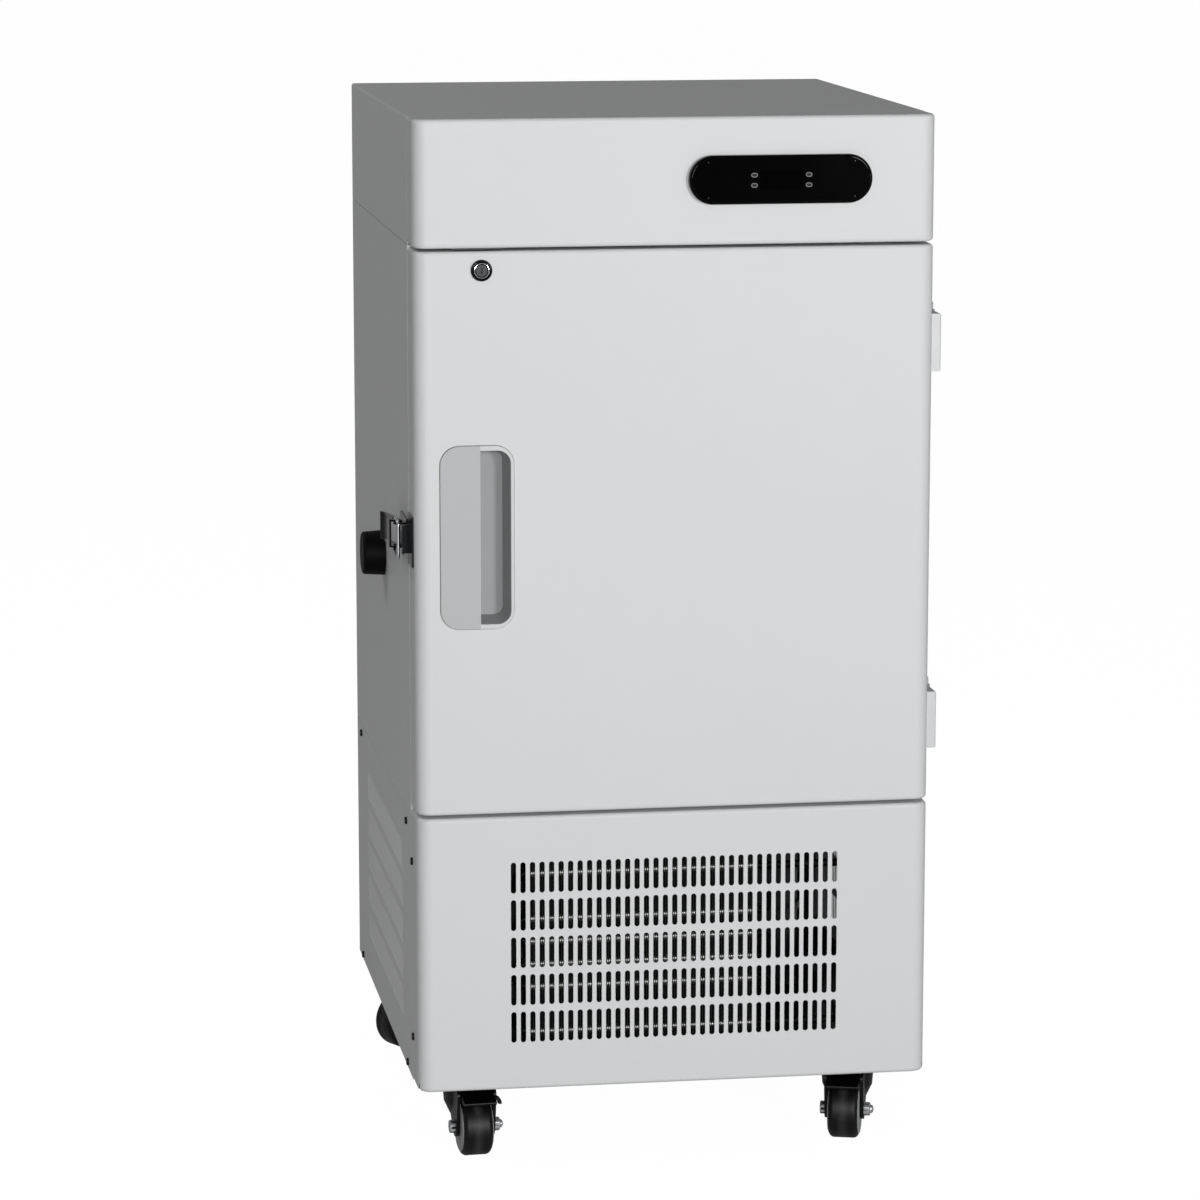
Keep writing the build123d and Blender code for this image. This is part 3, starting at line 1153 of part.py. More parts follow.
def refrigerant_lines():
    """Discharge, liquid (with its drier) and suction lines of the machine compartment."""
    tail = CONDENSER_RIGHT + CONDENSER_TAIL
    low, top = condenser_heights()[0], condenser_heights()[-1]
    x, y = COMPRESSOR_PLACE
    can = COMPRESSOR_RADIUS + LINE_SEAT
    aside = x + COMPRESSOR_RADIUS + FOOT_PLATE_MARGIN
    port = Z_COMPRESSOR + COMPRESSOR_HEIGHT / 2 + COMPRESSOR_DOME
    discharge = pipe(
        [(tail, Y_TUBES, top), (aside, Y_TUBES, top), (aside, y, top), (aside, y, port), (x + can, y, port)],
        LINE_BEND * BEND_SHARE,
        LINE_RADIUS,
    )
    drier_end = y - COMPRESSOR_RADIUS - 4 * LINE_BEND
    drier_start = drier_end - DRIER_LENGTH
    drier_x = tail + DRIER_LENGTH
    riser_x, riser_y = aside + LINE_BEND, drier_end + 2 * LINE_BEND
    liquid = pipe(
        [(tail, Y_TUBES, low), (drier_x, Y_TUBES, low), (drier_x, drier_end, low)], LINE_BEND, LINE_RADIUS
    )
    liquid += rod((drier_x, drier_start, low), (drier_x, drier_end, low), DRIER_RADIUS)
    liquid += pipe(
        [(drier_x, drier_end, low), (drier_x, riser_y, low), (riser_x, riser_y, low), (riser_x, riser_y, Z_SHELL)],
        LINE_BEND,
        LINE_RADIUS,
    )
    behind = y + COMPRESSOR_RADIUS + 3 * LINE_BEND
    suction_z = Z_COMPRESSOR + COMPRESSOR_HEIGHT / 2
    suction = pipe(
        [(x, behind, Z_SHELL), (x, behind, suction_z), (x, y + can, suction_z)], LINE_BEND, SUCTION_RADIUS
    )
    return Compound(children=[discharge, liquid, suction])


def mains_inlet():
    """Three-pin inlet in the rear panel: flange, socket well and pins."""
    x, z = INLET_PLACE[0], Z_BASE + INLET_PLACE[1]
    width, height, depth = INLET_FLANGE
    face = upright_face(x, Y_BACK, z)
    inlet = extrude(face * RectangleRounded(width, height, EDGE_RADIUS), -depth)
    body_width, body_height, body_depth = INLET_BODY
    inlet += extrude(face * Rectangle(body_width, body_height), body_depth)
    socket_width, socket_height, socket_depth = INLET_SOCKET
    mouth = upright_face(x, Y_BACK + depth, z)
    inlet -= extrude(mouth * Rectangle(socket_width, socket_height), socket_depth)
    pin_wide, pin_tall, pin_long = INLET_PIN
    floor = Y_BACK + depth - socket_depth
    for offset, drop in ((-INLET_PIN_SPREAD, -1), (0, 1), (INLET_PIN_SPREAD, -1)):
        px, pz = x + offset, z - drop * INLET_PIN_DROP
        inlet += slab(
            (px - pin_wide / 2, px + pin_wide / 2), (floor, floor + pin_long), (pz - pin_tall / 2, pz + pin_tall / 2)
        )
    return inlet


def screw(place, outward):
    """Pan head of one panel screw, standing on a face."""
    plane = Plane(origin=place, z_dir=outward)
    head = Cylinder(SCREW_RADIUS, SCREW_HEIGHT, align=MIDDLE)
    return plane * fillet(head.edges().sort_by(Axis.Z)[-1], SCREW_HEIGHT / 2)


def panel_screws():
    """Visible screws of the lower side panels, the front panel's returns and the rear panels."""
    heads = []
    for side in (-1, 1):
        spots = [(back, up) for back in SIDE_SCREW_BACKS for up in SIDE_SCREW_UPS]
        spots += [(RETURN_SCREW_BACK, up) for up in RETURN_SCREW_UPS]
        for back, up in spots:
            heads.append(screw((side * HALF_WIDTH, Y_FRONT + back, Z_BASE + up), (side, 0, 0)))
        x = side * (HALF_WIDTH - REAR_SCREW_INSET)
        levels = (Z_SERVICE_TOP - REAR_SCREW_INSET, Z_SHELL + REAR_SCREW_INSET, Z_SHELL_TOP - REAR_SCREW_INSET)
        for z in levels + (Z_BASE + REAR_SCREW_INSET,):
            heads.append(screw((x, Y_BACK, z), (0, 1, 0)))
    return Compound(children=heads)


def build():
    """Every sub-part by its node name."""
    nodes = {
        "base_frame": base_frame(),
        "cabinet_shell": cabinet_shell(),
        "rear_panel": rear_panel(),
        "insulation_foam": insulation_foam(),
        "chamber_liner": chamber_liner(),
        "throat_frame": throat_frame(),
        "evaporator_coil": evaporator_coil(),
        "temperature_probe": temperature_probe(),
        "shelves": shelves(),
        "shelf_rails": shelf_rails(),
        "port_sleeve": port_sleeve(),
        "port_stopper": port_stopper(),
        "top_cover": top_cover(),
        "control_fascia": control_fascia(),
        "display_pod": display_pod(),
        "display_window": display_window(),
        "controller_board": controller_board(),
        "grille_panel": grille_panel(),
        "left_service_panel": service_panel(-1),
        "right_service_panel": service_panel(1),
        "rear_grille_panel": rear_grille_panel(),
        "panel_screws": panel_screws(),
        "compressor": compressor(),
        "compressor_feet": compressor_feet(),
        "condenser_core": condenser_core(),
        "condenser_tubes": condenser_tubes(),
        "fan_shroud": fan_shroud(),
        "fan_motor": fan_motor(),
        "fan_blade": fan_blade(),
        "refrigerant_lines": refrigerant_lines(),
        "mains_inlet": mains_inlet(),
        "door_skin": door_skin(),
        "door_foam": door_foam(),
        "door_liner": door_liner(),
        "door_gasket": door_gasket(),
        "handle_frame": handle_frame(),
        "handle_cup": handle_cup(),
        "lock_barrel": lock_barrel(),
        "lock_core": lock_core(),
        "hinge_door_leaves": hinge_door_leaves(),
        "hinge_fixed_leaves": hinge_fixed_leaves(),
        "latch_base": latch_base(),
        "latch_lever": latch_lever(),
        "latch_bail": latch_bail(),
        "latch_keeper": latch_keeper(),
        "caster_plates": caster_plates(),
    }
    for number, (x, z) in enumerate(key_places(), start=1):
        nodes[f"key_{number}"] = display_key(x, z)
    for name in CASTER_TURNS:
        braked = name.startswith("f")
        nodes[f"caster_fork_{name}"] = at_caster(name, caster_fork(braked))
        nodes[f"caster_wheel_{name}"] = at_caster(name, caster_wheel())
        if braked:
            nodes[f"brake_pedal_{name}"] = at_caster(name, brake_pedal())
    return nodes


os.makedirs("parts", exist_ok=True)
for node, shape in build().items():
    export_step(shape, f"parts/{node}.step")
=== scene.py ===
"""Looks of an upright ultra low temperature freezer, dressed around its solid model.

Everything is in metres in the model's own frame: +Z up, the door faces -Y, the floor is z = 0.
"""

import json
import logging
import math
from dataclasses import dataclass, field
from enum import Enum
from functools import lru_cache
from typing import Any, Iterable, Sequence

import bmesh
import bpy
import numpy as np
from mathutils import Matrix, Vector


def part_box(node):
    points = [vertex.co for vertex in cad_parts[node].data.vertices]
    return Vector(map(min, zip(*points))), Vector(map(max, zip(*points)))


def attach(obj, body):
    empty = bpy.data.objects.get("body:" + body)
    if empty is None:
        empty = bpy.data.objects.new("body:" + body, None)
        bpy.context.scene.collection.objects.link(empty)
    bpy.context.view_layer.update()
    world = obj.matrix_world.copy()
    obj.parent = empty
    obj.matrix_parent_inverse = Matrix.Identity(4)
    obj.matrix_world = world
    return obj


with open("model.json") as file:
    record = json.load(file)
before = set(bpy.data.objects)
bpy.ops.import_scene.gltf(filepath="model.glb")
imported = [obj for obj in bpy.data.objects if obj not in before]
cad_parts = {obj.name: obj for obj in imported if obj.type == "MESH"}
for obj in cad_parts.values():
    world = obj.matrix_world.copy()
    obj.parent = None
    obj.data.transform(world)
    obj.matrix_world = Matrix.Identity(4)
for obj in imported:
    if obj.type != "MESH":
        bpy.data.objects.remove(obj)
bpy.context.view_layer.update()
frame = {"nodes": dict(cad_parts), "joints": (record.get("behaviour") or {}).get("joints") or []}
LOG = logging.getLogger("freezer")
MM = 0.001
UP = np.array([0.0, 0.0, 1.0])
FRONT = (0.0, -1.0, 0.0)
# Width of the handle's grey grip, in millimetres
GRIP_WIDTH = 41.3
# The angle in degrees past which an edge stays sharp
SHARP_EDGE = 32.0
# Points closer than this, in metres, become one
MERGE_DISTANCE = 1e-6
# Farther than any piece reaches, in metres
FAR = 1000.0
# The least roughness that a finish gets
SMOOTHEST = 0.02
# The wave texture's own period at scale one
WAVE_PERIOD = 2 * math.pi / 20
Array = np.ndarray
Values = dict[str | int, Any]


def linear(colour: str) -> tuple[float, float, float, float]:
    """Turns an sRGB hex colour into linear light.

    Args:
        colour: A string such as "#d4d5d6".

    Returns:
        Red, green, blue and an alpha of one.
    """
    parts = np.array([int(colour[i:i + 2], 16) for i in (1, 3, 5)]) / 255.0
    light = np.where(parts <= 0.04045, parts / 12.92, ((parts + 0.055) / 1.055) ** 2.4)
    return (*map(float, light), 1.0)


def per_mm(size: float) -> float:
    """Gives the texture scale whose features are about size millimetres wide."""
    return 1.0 / (size * MM)


def add_node(tree: bpy.types.NodeTree, kind: str, settings: Values | None = None,
             values: Values | None = None, links: Values | None = None) -> bpy.types.Node:
    """Adds a node with its settings, socket values and incoming links.

    Args:
        tree: The node tree that takes the node.
        kind: The node's type name.
        settings: Properties of the node itself.
        values: Socket values by socket name or number.
        links: Output sockets that feed the named or numbered inputs.

    Returns:
        The new node.
    """
    node = tree.nodes.new(kind)
    for name, value in (settings or {}).items():
        setattr(node, name, value)
    for key, value in (values or {}).items():
        node.inputs[key].default_value = value
    for key, socket in (links or {}).items():
        tree.links.new(socket, node.inputs[key])
    return node


@dataclass(frozen=True)
class Finish:
    """A surface finish: what the material is, and what its making leaves on it."""

    name: str
    colour: str
    roughness: float
    metallic: float = 0.0
    specular: float = 0.5
    tint: float = 0.03
    patch_mm: float = 120.0
    grain_mm: float = 1.0
    relief_mm: float = 0.02
    bump: float = 0.3
    scatter: float = 0.05

    @lru_cache(maxsize=None)
    def material(self) -> bpy.types.Material:
        """Makes the material once and hands out the same one afterwards."""
        made = bpy.data.materials.new(self.name)
        made.use_nodes = True
        tree = made.node_tree
        shader = tree.nodes["Principled BSDF"]
        shader.inputs["Metallic"].default_value = self.metallic
        shader.inputs["Specular IOR Level"].default_value = self.specular
        place = add_node(tree, "ShaderNodeTexCoord").outputs["Object"]
        self.dress(tree, shader, place)
        return made

    def shades(self, spread: float) -> tuple[tuple, tuple]:
        """Gives the finish's colour made darker and lighter by a share."""
        red, green, blue, _ = linear(self.colour)
        dark = tuple(c * (1 - spread) for c in (red, green, blue))
        light = tuple(min(1.0, c * (1 + spread)) for c in (red, green, blue))
        return (*dark, 1.0), (*light, 1.0)

    def grain(self, tree: bpy.types.NodeTree, place: Any) -> Any:
        """Gives the height pattern that the making leaves; a subclass has its own.

        Args:
            tree: The material's nodes.
            place: The socket with the coordinates.

        Returns:
            A socket with heights from nought to one.
        """
        noise = add_node(tree, "ShaderNodeTexNoise", values={
            "Scale": per_mm(self.grain_mm), "Detail": 2.0}, links={"Vector": place})
        return noise.outputs["Fac"]

    def tone(self, tree: bpy.types.NodeTree, place: Any) -> Any:
        """Gives the colour, which drifts a little from patch to patch; a subclass has its own.

        Args:
            tree: The material's nodes.
            place: The socket with the coordinates.

        Returns:
            A socket with the colour.
        """
        patch = add_node(tree, "ShaderNodeTexNoise", values={
            "Scale": per_mm(self.patch_mm), "Detail": 4.0}, links={"Vector": place}).outputs["Fac"]
        dark, light = self.shades(self.tint)
        mixed = add_node(tree, "ShaderNodeMix", {"data_type": "RGBA"}, {6: dark, 7: light}, {0: patch})
        return mixed.outputs[2]

    def dress(self, tree: bpy.types.NodeTree, shader: bpy.types.Node, place: Any) -> None:
        """Feeds colour, roughness and relief into the shader.

        Args:
            tree: The material's nodes.
            shader: The principled shader.
            place: The socket with the coordinates.
        """
        height = self.grain(tree, place)
        rough = add_node(tree, "ShaderNodeMapRange", values={
            "To Min": max(SMOOTHEST, self.roughness - self.scatter),
            "To Max": min(1.0, self.roughness + self.scatter)}, links={"Value": height})
        relief = add_node(tree, "ShaderNodeBump", values={
            "Strength": self.bump, "Distance": self.relief_mm * MM}, links={"Height": height})
        tree.links.new(self.tone(tree, place), shader.inputs["Base Color"])
        tree.links.new(rough.outputs["Result"], shader.inputs["Roughness"])
        tree.links.new(relief.outputs["Normal"], shader.inputs["Normal"])


@dataclass(frozen=True)
class BrushedMetal(Finish):
    """Metal drawn over an abrasive belt: fine streaks, long along one axis."""

    streak_mm: float = 60.0
    along: int = 0

    def grain(self, tree: bpy.types.NodeTree, place: Any) -> Any:
        """Stretches a noise along the brushing direction."""
        scale = [per_mm(self.grain_mm)] * 3
        scale[self.along] = per_mm(self.streak_mm)
        stretched = add_node(tree, "ShaderNodeMapping", values={"Scale": scale}, links={"Vector": place})
        noise = add_node(tree, "ShaderNodeTexNoise", values={"Scale": 1.0, "Detail": 3.0},
                         links={"Vector": stretched.outputs["Vector"]})
        return noise.outputs["Fac"]


@dataclass(frozen=True)
class SpangledZinc(Finish):
    """Hot-dip galvanised sheet: crystal spangles that differ a little in shade."""

    def grain(self, tree: bpy.types.NodeTree, place: Any) -> Any:
        """Gives each crystal cell one height."""
        cells = add_node(tree, "ShaderNodeTexVoronoi", values={"Scale": per_mm(self.grain_mm)},
                         links={"Vector": place})
        return add_node(tree, "ShaderNodeSeparateColor", links={0: cells.outputs["Color"]}).outputs[0]


@dataclass(frozen=True)
class StripedMetal(Finish):
    """A pack of thin fins on edge, seen as fine stripes across X."""

    def grain(self, tree: bpy.types.NodeTree, place: Any) -> Any:
        """Runs a wave across the fins, one period a fin."""
        wave = add_node(tree, "ShaderNodeTexWave", {"bands_direction": "X"}, {
            "Scale": per_mm(self.grain_mm) * WAVE_PERIOD, "Distortion": 0.0}, {"Vector": place})
        return wave.outputs["Fac"]


@dataclass(frozen=True)
class BandedFinish(Finish):
    """A finish that keeps its colour between two limits across X and takes another beyond them."""

    beyond: str = "#000000"
    low: float = -FAR
    high: float = FAR

    def tone(self, tree: bpy.types.NodeTree, place: Any) -> Any:
        """Tests the place's X against both limits and mixes the two colours."""
        x = add_node(tree, "ShaderNodeSeparateXYZ", links={0: place}).outputs["X"]
        past = add_node(tree, "ShaderNodeMath", {"operation": "GREATER_THAN"}, {1: self.low}, {0: x})
        short = add_node(tree, "ShaderNodeMath", {"operation": "LESS_THAN"}, {1: self.high}, {0: x})
        within = add_node(tree, "ShaderNodeMath", {"operation": "MULTIPLY"},
                          links={0: past.outputs[0], 1: short.outputs[0]})
        mixed = add_node(tree, "ShaderNodeMix", {"data_type": "RGBA"}, {6: linear(self.beyond)},
                         {0: within.outputs[0], 7: super().tone(tree, place)})
        return mixed.outputs[2]


@dataclass(frozen=True)
class WornTread(Finish):
    """A moulded black wheel, scuffed to a soft grey along the line that it rolls on."""

    centre: tuple[float, ...] = (0.0, 0.0, 0.0)
    axis: tuple[float, ...] = (1.0, 0.0, 0.0)
    scuff: str = "#3d3e3d"
    scuff_mm: float = 13.0
    mottle_mm: float = 7.0

    def tone(self, tree: bpy.types.NodeTree, place: Any) -> Any:
        """Fades the scuff out with the distance from the wheel's middle plane, |(P - C) . A|."""
        arm = add_node(tree, "ShaderNodeVectorMath", {"operation": "SUBTRACT"}, {1: self.centre}, {0: place})
        off = add_node(tree, "ShaderNodeVectorMath", {"operation": "DOT_PRODUCT"}, {1: self.axis},
                       {0: arm.outputs["Vector"]})
        away = add_node(tree, "ShaderNodeMath", {"operation": "ABSOLUTE"}, links={0: off.outputs["Value"]})
        band = add_node(tree, "ShaderNodeMapRange", values={
            "From Max": self.scuff_mm * MM / 2, "To Min": 1.0, "To Max": 0.0},
            links={"Value": away.outputs[0]})
        mottle = add_node(tree, "ShaderNodeTexNoise", values={
            "Scale": per_mm(self.mottle_mm), "Detail": 4.0}, links={"Vector": place}).outputs["Fac"]
        share = add_node(tree, "ShaderNodeMath", {"operation": "MULTIPLY"},
                         links={0: band.outputs["Result"], 1: mottle})
        mixed = add_node(tree, "ShaderNodeMix", {"data_type": "RGBA"}, {7: linear(self.scuff)},
                         {0: share.outputs[0], 6: super().tone(tree, place)})
        return mixed.outputs[2]


class Coat(Enum):
    """The finishes of the cabinet, each named for its material and its making."""

    # Powder-coated sheet: an even satin white with a fine orange peel; its 1.5 mm peel is drawn at 2.4 mm
    POWDER = Finish("powder_coated_steel", "#d9dadb", 0.42, specular=0.3, tint=0.012, patch_mm=260,
                    grain_mm=2.4, relief_mm=0.05, bump=0.22, scatter=0.04)
    # Galvanised sheet: cold grey crystals under a dull white bloom
    GALVANISED = SpangledZinc("galvanised_sheet", "#b4b8bb", 0.42, metallic=0.35, tint=0.08, grain_mm=9,
                              relief_mm=0.02, bump=0.12, scatter=0.10)
    # Sprayed polyurethane: creamy cells
    FOAM = Finish("polyurethane_foam", "#e0cf9a", 0.9, tint=0.10, patch_mm=20, grain_mm=3, relief_mm=0.8,
                  bump=0.6)
    # Stainless sheet, belt brushed along the width: fine streaks and wide soft glints
    STAINLESS = BrushedMetal("brushed_stainless", "#c4c5c7", 0.30, metallic=0.7, tint=0.04, grain_mm=0.5,
                             relief_mm=0.01, bump=0.15, scatter=0.08)
    # Vacuum-formed ABS: soft white with a faint leather of the mould
    FORMED_ABS = Finish("formed_abs", "#dfe1e2", 0.48, tint=0.012, grain_mm=1.6, relief_mm=0.04, bump=0.25)
    # Moulded ABS of the handle: a grey grip clipped into a white frame; its 0.4 mm grain is drawn at 1 mm
    HANDLE_ABS = BandedFinish("moulded_handle_abs", "#b7b8b9", 0.5, tint=0.015, grain_mm=1.0, relief_mm=0.03,
                              bump=0.25, beyond="#d2d3d4",
                              high=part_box("handle_frame")[0][0] + GRIP_WIDTH * MM)
    # The same ABS in the finger pocket, drawn darker than the grip as painted shade for the recess
    CUP_ABS = Finish("pocket_abs_painted_shade", "#a2a3a4", 0.55, tint=0.03, patch_mm=40, grain_mm=1.0,
                     relief_mm=0.03)
    # Extruded silicone: a soft mid grey with a dull skin
    GASKET = Finish("silicone_gasket", "#6d7073", 0.62, tint=0.05, grain_mm=1.2, relief_mm=0.04, bump=0.3)
    # Moulded rubber: a dull deep black with only a faint broad sheen
    RUBBER = Finish("moulded_rubber", "#040404", 0.55, specular=0.1, tint=0.12, grain_mm=1.0, relief_mm=0.05,
                    bump=0.4)
    # Drawn copper: orange where bright, brown where it has been handled
    COPPER = BrushedMetal("drawn_copper", "#b77a55", 0.34, metallic=1.0, tint=0.18, patch_mm=30, grain_mm=0.6,
                          streak_mm=25, scatter=0.1)
    # Condenser tube: dulled tin between the end plates, and near black on the bends beyond them, which is
    # painted shade behind the panels
    TINNED = BandedFinish("tinned_tube", "#949492", 0.34, metallic=1.0, tint=0.10, patch_mm=18, grain_mm=0.8,
                          scatter=0.1, beyond="#0b0b0c", low=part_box("condenser_core")[0][0],
                          high=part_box("condenser_core")[1][0])
    # Polished acrylic over black: no colour of its own, only small sharp reflections at its edges
    GLOSS_BLACK = Finish("polished_black_acrylic", "#020203", 0.07, specular=0.09, tint=0.10, grain_mm=30,
                         relief_mm=0.02, bump=0.05, scatter=0.02)
    # Smoked acrylic: the same black, a little flatter
    SMOKED = Finish("smoked_window", "#010102", 0.05, specular=0.07, tint=0.10, grain_mm=40, bump=0.02,
                    scatter=0.01)
    # Moulded key cap: satin black
    KEY_CAP = Finish("key_cap", "#060607", 0.35, specular=0.15, tint=0.06, grain_mm=0.8, relief_mm=0.01)
    # Pad print: flat grey ink
    PRINT = Finish("pad_print", "#8a8c8e", 0.55, tint=0.05, grain_mm=0.8, relief_mm=0.01)
    # Solder mask: glossy green over the copper's pattern
    BOARD = Finish("solder_mask", "#1f5a36", 0.35, tint=0.10, patch_mm=9, grain_mm=2.0, relief_mm=0.03)
    # Dipped enamel: a thick glossy black
    ENAMEL = Finish("black_enamel", "#2a2c2e", 0.3, tint=0.08, grain_mm=3.0, relief_mm=0.03, bump=0.2)
    # Moulded nylon: satin black
    NYLON = Finish("moulded_black_nylon", "#19191a", 0.45, tint=0.08, grain_mm=1.2, relief_mm=0.03)
    # Chrome plate over a die casting: a mirror of the pale room
    CHROME = Finish("chrome_plate", "#cfd1d4", 0.13, metallic=1.0, tint=0.03, patch_mm=15, grain_mm=4,
                    relief_mm=0.02, bump=0.08, scatter=0.04)
    # Satin nickel plate on the hinges: blasted so fine that it takes the pale light like paint
    SATIN_PLATE = Finish("satin_nickel_plate", "#cccdce", 0.5, metallic=0.15, specular=0.3, tint=0.03,
                         patch_mm=15, grain_mm=3, relief_mm=0.01, bump=0.05, scatter=0.03)
    # Polished steel of the latch, lock and screws: the dim room's reflection is painted into its near-black
    # colour, leaving thin bright edges
    DARK_MIRROR = Finish("steel_painted_dark_reflection", "#252628", 0.14, metallic=1.0, tint=0.12, patch_mm=8,
                         grain_mm=3, relief_mm=0.05, bump=0.2, scatter=0.06)
    # Black oxide: dark steel with an oily sheen
    BLACK_OXIDE = Finish("black_oxide_steel", "#3a3b3d", 0.4, metallic=0.85, tint=0.1, patch_mm=5,
                         grain_mm=0.8)
    # Dulled zinc plate: a pale grey bloom over the metal
    ZINC = Finish("zinc_plate", "#b6b8ba", 0.38, metallic=0.6, tint=0.12, patch_mm=5, grain_mm=1.5,
                  relief_mm=0.02, scatter=0.1)
    # E-coat on pressed steel: a thin even black with a low gloss
    E_COAT = Finish("black_e_coat", "#070708", 0.36, specular=0.3, tint=0.12, patch_mm=12, grain_mm=1.6,
                    relief_mm=0.04, bump=0.3)
    # Moulded polypropylene of the thread guards: a plain grey, faintly mottled
    WHEEL_CORE = Finish("grey_thread_guard", "#a3a4a4", 0.45, tint=0.06, patch_mm=8, grain_mm=1.0,
                        relief_mm=0.03)
    # Aluminium fins seen on edge, drawn near black as painted shade of the dark bay behind the slots, with a
    # weak metal glint
    FIN_PACK = StripedMetal("fin_pack", "#111213", 0.5, metallic=0.5, tint=0.12, patch_mm=25, grain_mm=2.0,
                            relief_mm=0.5, bump=0.5)

    @property
    def material(self) -> bpy.types.Material:
        """The finish's own material."""
        return self.value.material()


def unit(vector: Sequence[float]) -> Array:
    """Gives the vector at length one."""
    v = np.asarray(vector, float)
    return v / np.linalg.norm(v)


def cross_frame(axis: Sequence[float]) -> tuple[Array, Array, Array]:
    """Gives two unit vectors square to an axis, and the axis itself at length one."""
    a = unit(axis)
    helper = UP if abs(a[2]) < 0.9 else np.array([0.0, 1.0, 0.0])
    first = unit(np.cross(helper, a))
    return first, np.cross(a, first), a


def put_mesh(name: str, points: Array, faces: Array) -> bpy.types.Object:
    """Makes an object of points and faces, with poles merged and faces turned outwards.

    Args:
        name: The piece's name.
        points: Corner positions, one row each.
        faces: Corner numbers, one row a face.

    Returns:
        The object, linked to the scene.
    """
    mesh = bpy.data.meshes.new(name)
    mesh.from_pydata(points.reshape(-1, 3).tolist(), [], faces.tolist())
    work = bmesh.new()
    work.from_mesh(mesh)
    bmesh.ops.remove_doubles(work, verts=work.verts, dist=MERGE_DISTANCE)
    bmesh.ops.recalc_face_normals(work, faces=work.faces)
    work.to_mesh(mesh)
    work.free()
    made = bpy.data.objects.new(name, mesh)
    bpy.context.scene.collection.objects.link(made)
    return made


def grid_faces(rows: int, columns: int, wrap: bool) -> Array:
    """Gives the quads of a grid of points, closed along its rows when wrap is set."""
    last = columns if wrap else columns - 1
    i, j = np.meshgrid(np.arange(rows - 1), np.arange(last), indexing="ij")
    k = (j + 1) % columns
    quads = np.stack([i * columns + j, i * columns + k, (i + 1) * columns + k, (i + 1) * columns + j], -1)
    return quads.reshape(-1, 4)


def turned(name: str, profile: Sequence[Sequence[float]], centre: Sequence[float], axis: Sequence[float],
           segments: int = 48, across_flats: float = 0.0) -> bpy.types.Object:
    """Turns a profile about an axis, or about a hexagonal bar.

    P(u, v) = C + h(v) A + r(u, v) (cos u E1 + sin u E2), where r is the profile's radius and, on
    a hexagonal bar, at most half the flats over cos of the angle from the nearest flat.

    Args:
        name: The piece's name.
        profile: Radius and height pairs in millimetres.
        centre: Where the height is nought, in metres.
        axis: The direction of the height.
        segments: Points round the axis.
        across_flats: The bar's size across its flats in millimetres, or nought for a round bar.

    Returns:
        The object.
    """
    radius, height = np.asarray(profile, float).T * MM
    u = np.linspace(0.0, 2 * np.pi, segments, endpoint=False)
    first, second, along = cross_frame(axis)
    r = np.repeat(radius[:, None], segments, 1)
    if across_flats:
        from_flat = (u + np.pi / 6) % (np.pi / 3) - np.pi / 6
        r = np.minimum(r, across_flats * MM / 2 / np.cos(from_flat)[None, :])
    ring = np.cos(u)[:, None] * first + np.sin(u)[:, None] * second
    points = np.asarray(centre, float) + height[:, None, None] * along + r[..., None] * ring[None]
    return put_mesh(name, points, grid_faces(len(radius), segments, True))


def rounded_ring(size: Sequence[float], radius: float, inset: Array, rise: Array, steps: int = 10) -> Array:
    """Carries a profile round a rounded rectangle.

    P(u, v) = K(u) + (R - d(v)) n(u) in the plane, with K the nearest corner's centre, n the outward
    normal, d the profile's inset and its rise kept as the third coordinate.

    Args:
        size: Width and height in metres.
        radius: Corner radius in metres.
        inset: The profile's distances inward from the outline.
        rise: The profile's heights.
        steps: Points on each quarter turn.

    Returns:
        An array of profile points by outline points by three.
    """
    turn = np.linspace(0.0, np.pi / 2, steps)
    angle = (turn[None, :] + np.arange(4)[:, None] * np.pi / 2).ravel()
    signs = np.repeat(np.array([[1, 1], [-1, 1], [-1, -1], [1, -1]]), steps, 0)
    core = signs * (np.asarray(size) / 2 - radius)
    normal = np.stack([np.cos(angle), np.sin(angle)], 1)
    flat = core[None] + (radius - inset[:, None, None]) * normal[None]
    lift = np.broadcast_to(rise[:, None, None], (*flat.shape[:2], 1))
    return np.concatenate([flat, lift], -1)


def on_front(points: Array, centre: Sequence[float]) -> Array:
    """Stands flat points up on a plane that faces -Y: their third coordinate comes forward."""
    x, z, out = points[..., 0], points[..., 1], points[..., 2]
    return np.stack([centre[0] + x, centre[1] - out, centre[2] + z], -1)


def boxes(name: str, low: Array, high: Array) -> bpy.types.Object:
    """Makes a row of boxes from their lowest and highest corners, as whole arrays.

    Corner k of a box takes the low or the high value on each axis by the bits of k.

    Args:
        name: The piece's name.
        low: Lowest corners, one row a box.
        high: Highest corners, one row a box.

    Returns:
        The object.
    """
    bits = np.array([[(k >> axis) & 1 for axis in range(3)] for k in range(8)])
    points = np.where(bits[None] == 1, high[:, None], low[:, None])
    quads = np.array([[0, 2, 3, 1], [4, 5, 7, 6], [0, 1, 5, 4], [2, 6, 7, 3], [0, 4, 6, 2], [1, 3, 7, 5]])
    faces = (quads[None] + 8 * np.arange(len(low))[:, None, None]).reshape(-1, 4)
    return put_mesh(name, points, faces)


def strip(name: str, sections: Array) -> bpy.types.Object:
    """Makes a strip from its cross-sections, one row each, and closes both ends at their middles."""
    ends = np.repeat(sections[[0, -1]].mean(1)[:, None], sections.shape[1], 1)
    points = np.concatenate([ends[:1], sections, ends[1:]])
    return put_mesh(name, points, grid_faces(len(points), sections.shape[1], True))


def smooth(piece: bpy.types.Object, degrees: float = SHARP_EDGE) -> None:
    """Shades a piece smooth, apart from edges sharper than an angle."""
    piece.data.shade_smooth()
    piece.data.set_sharp_from_angle(angle=math.radians(degrees))


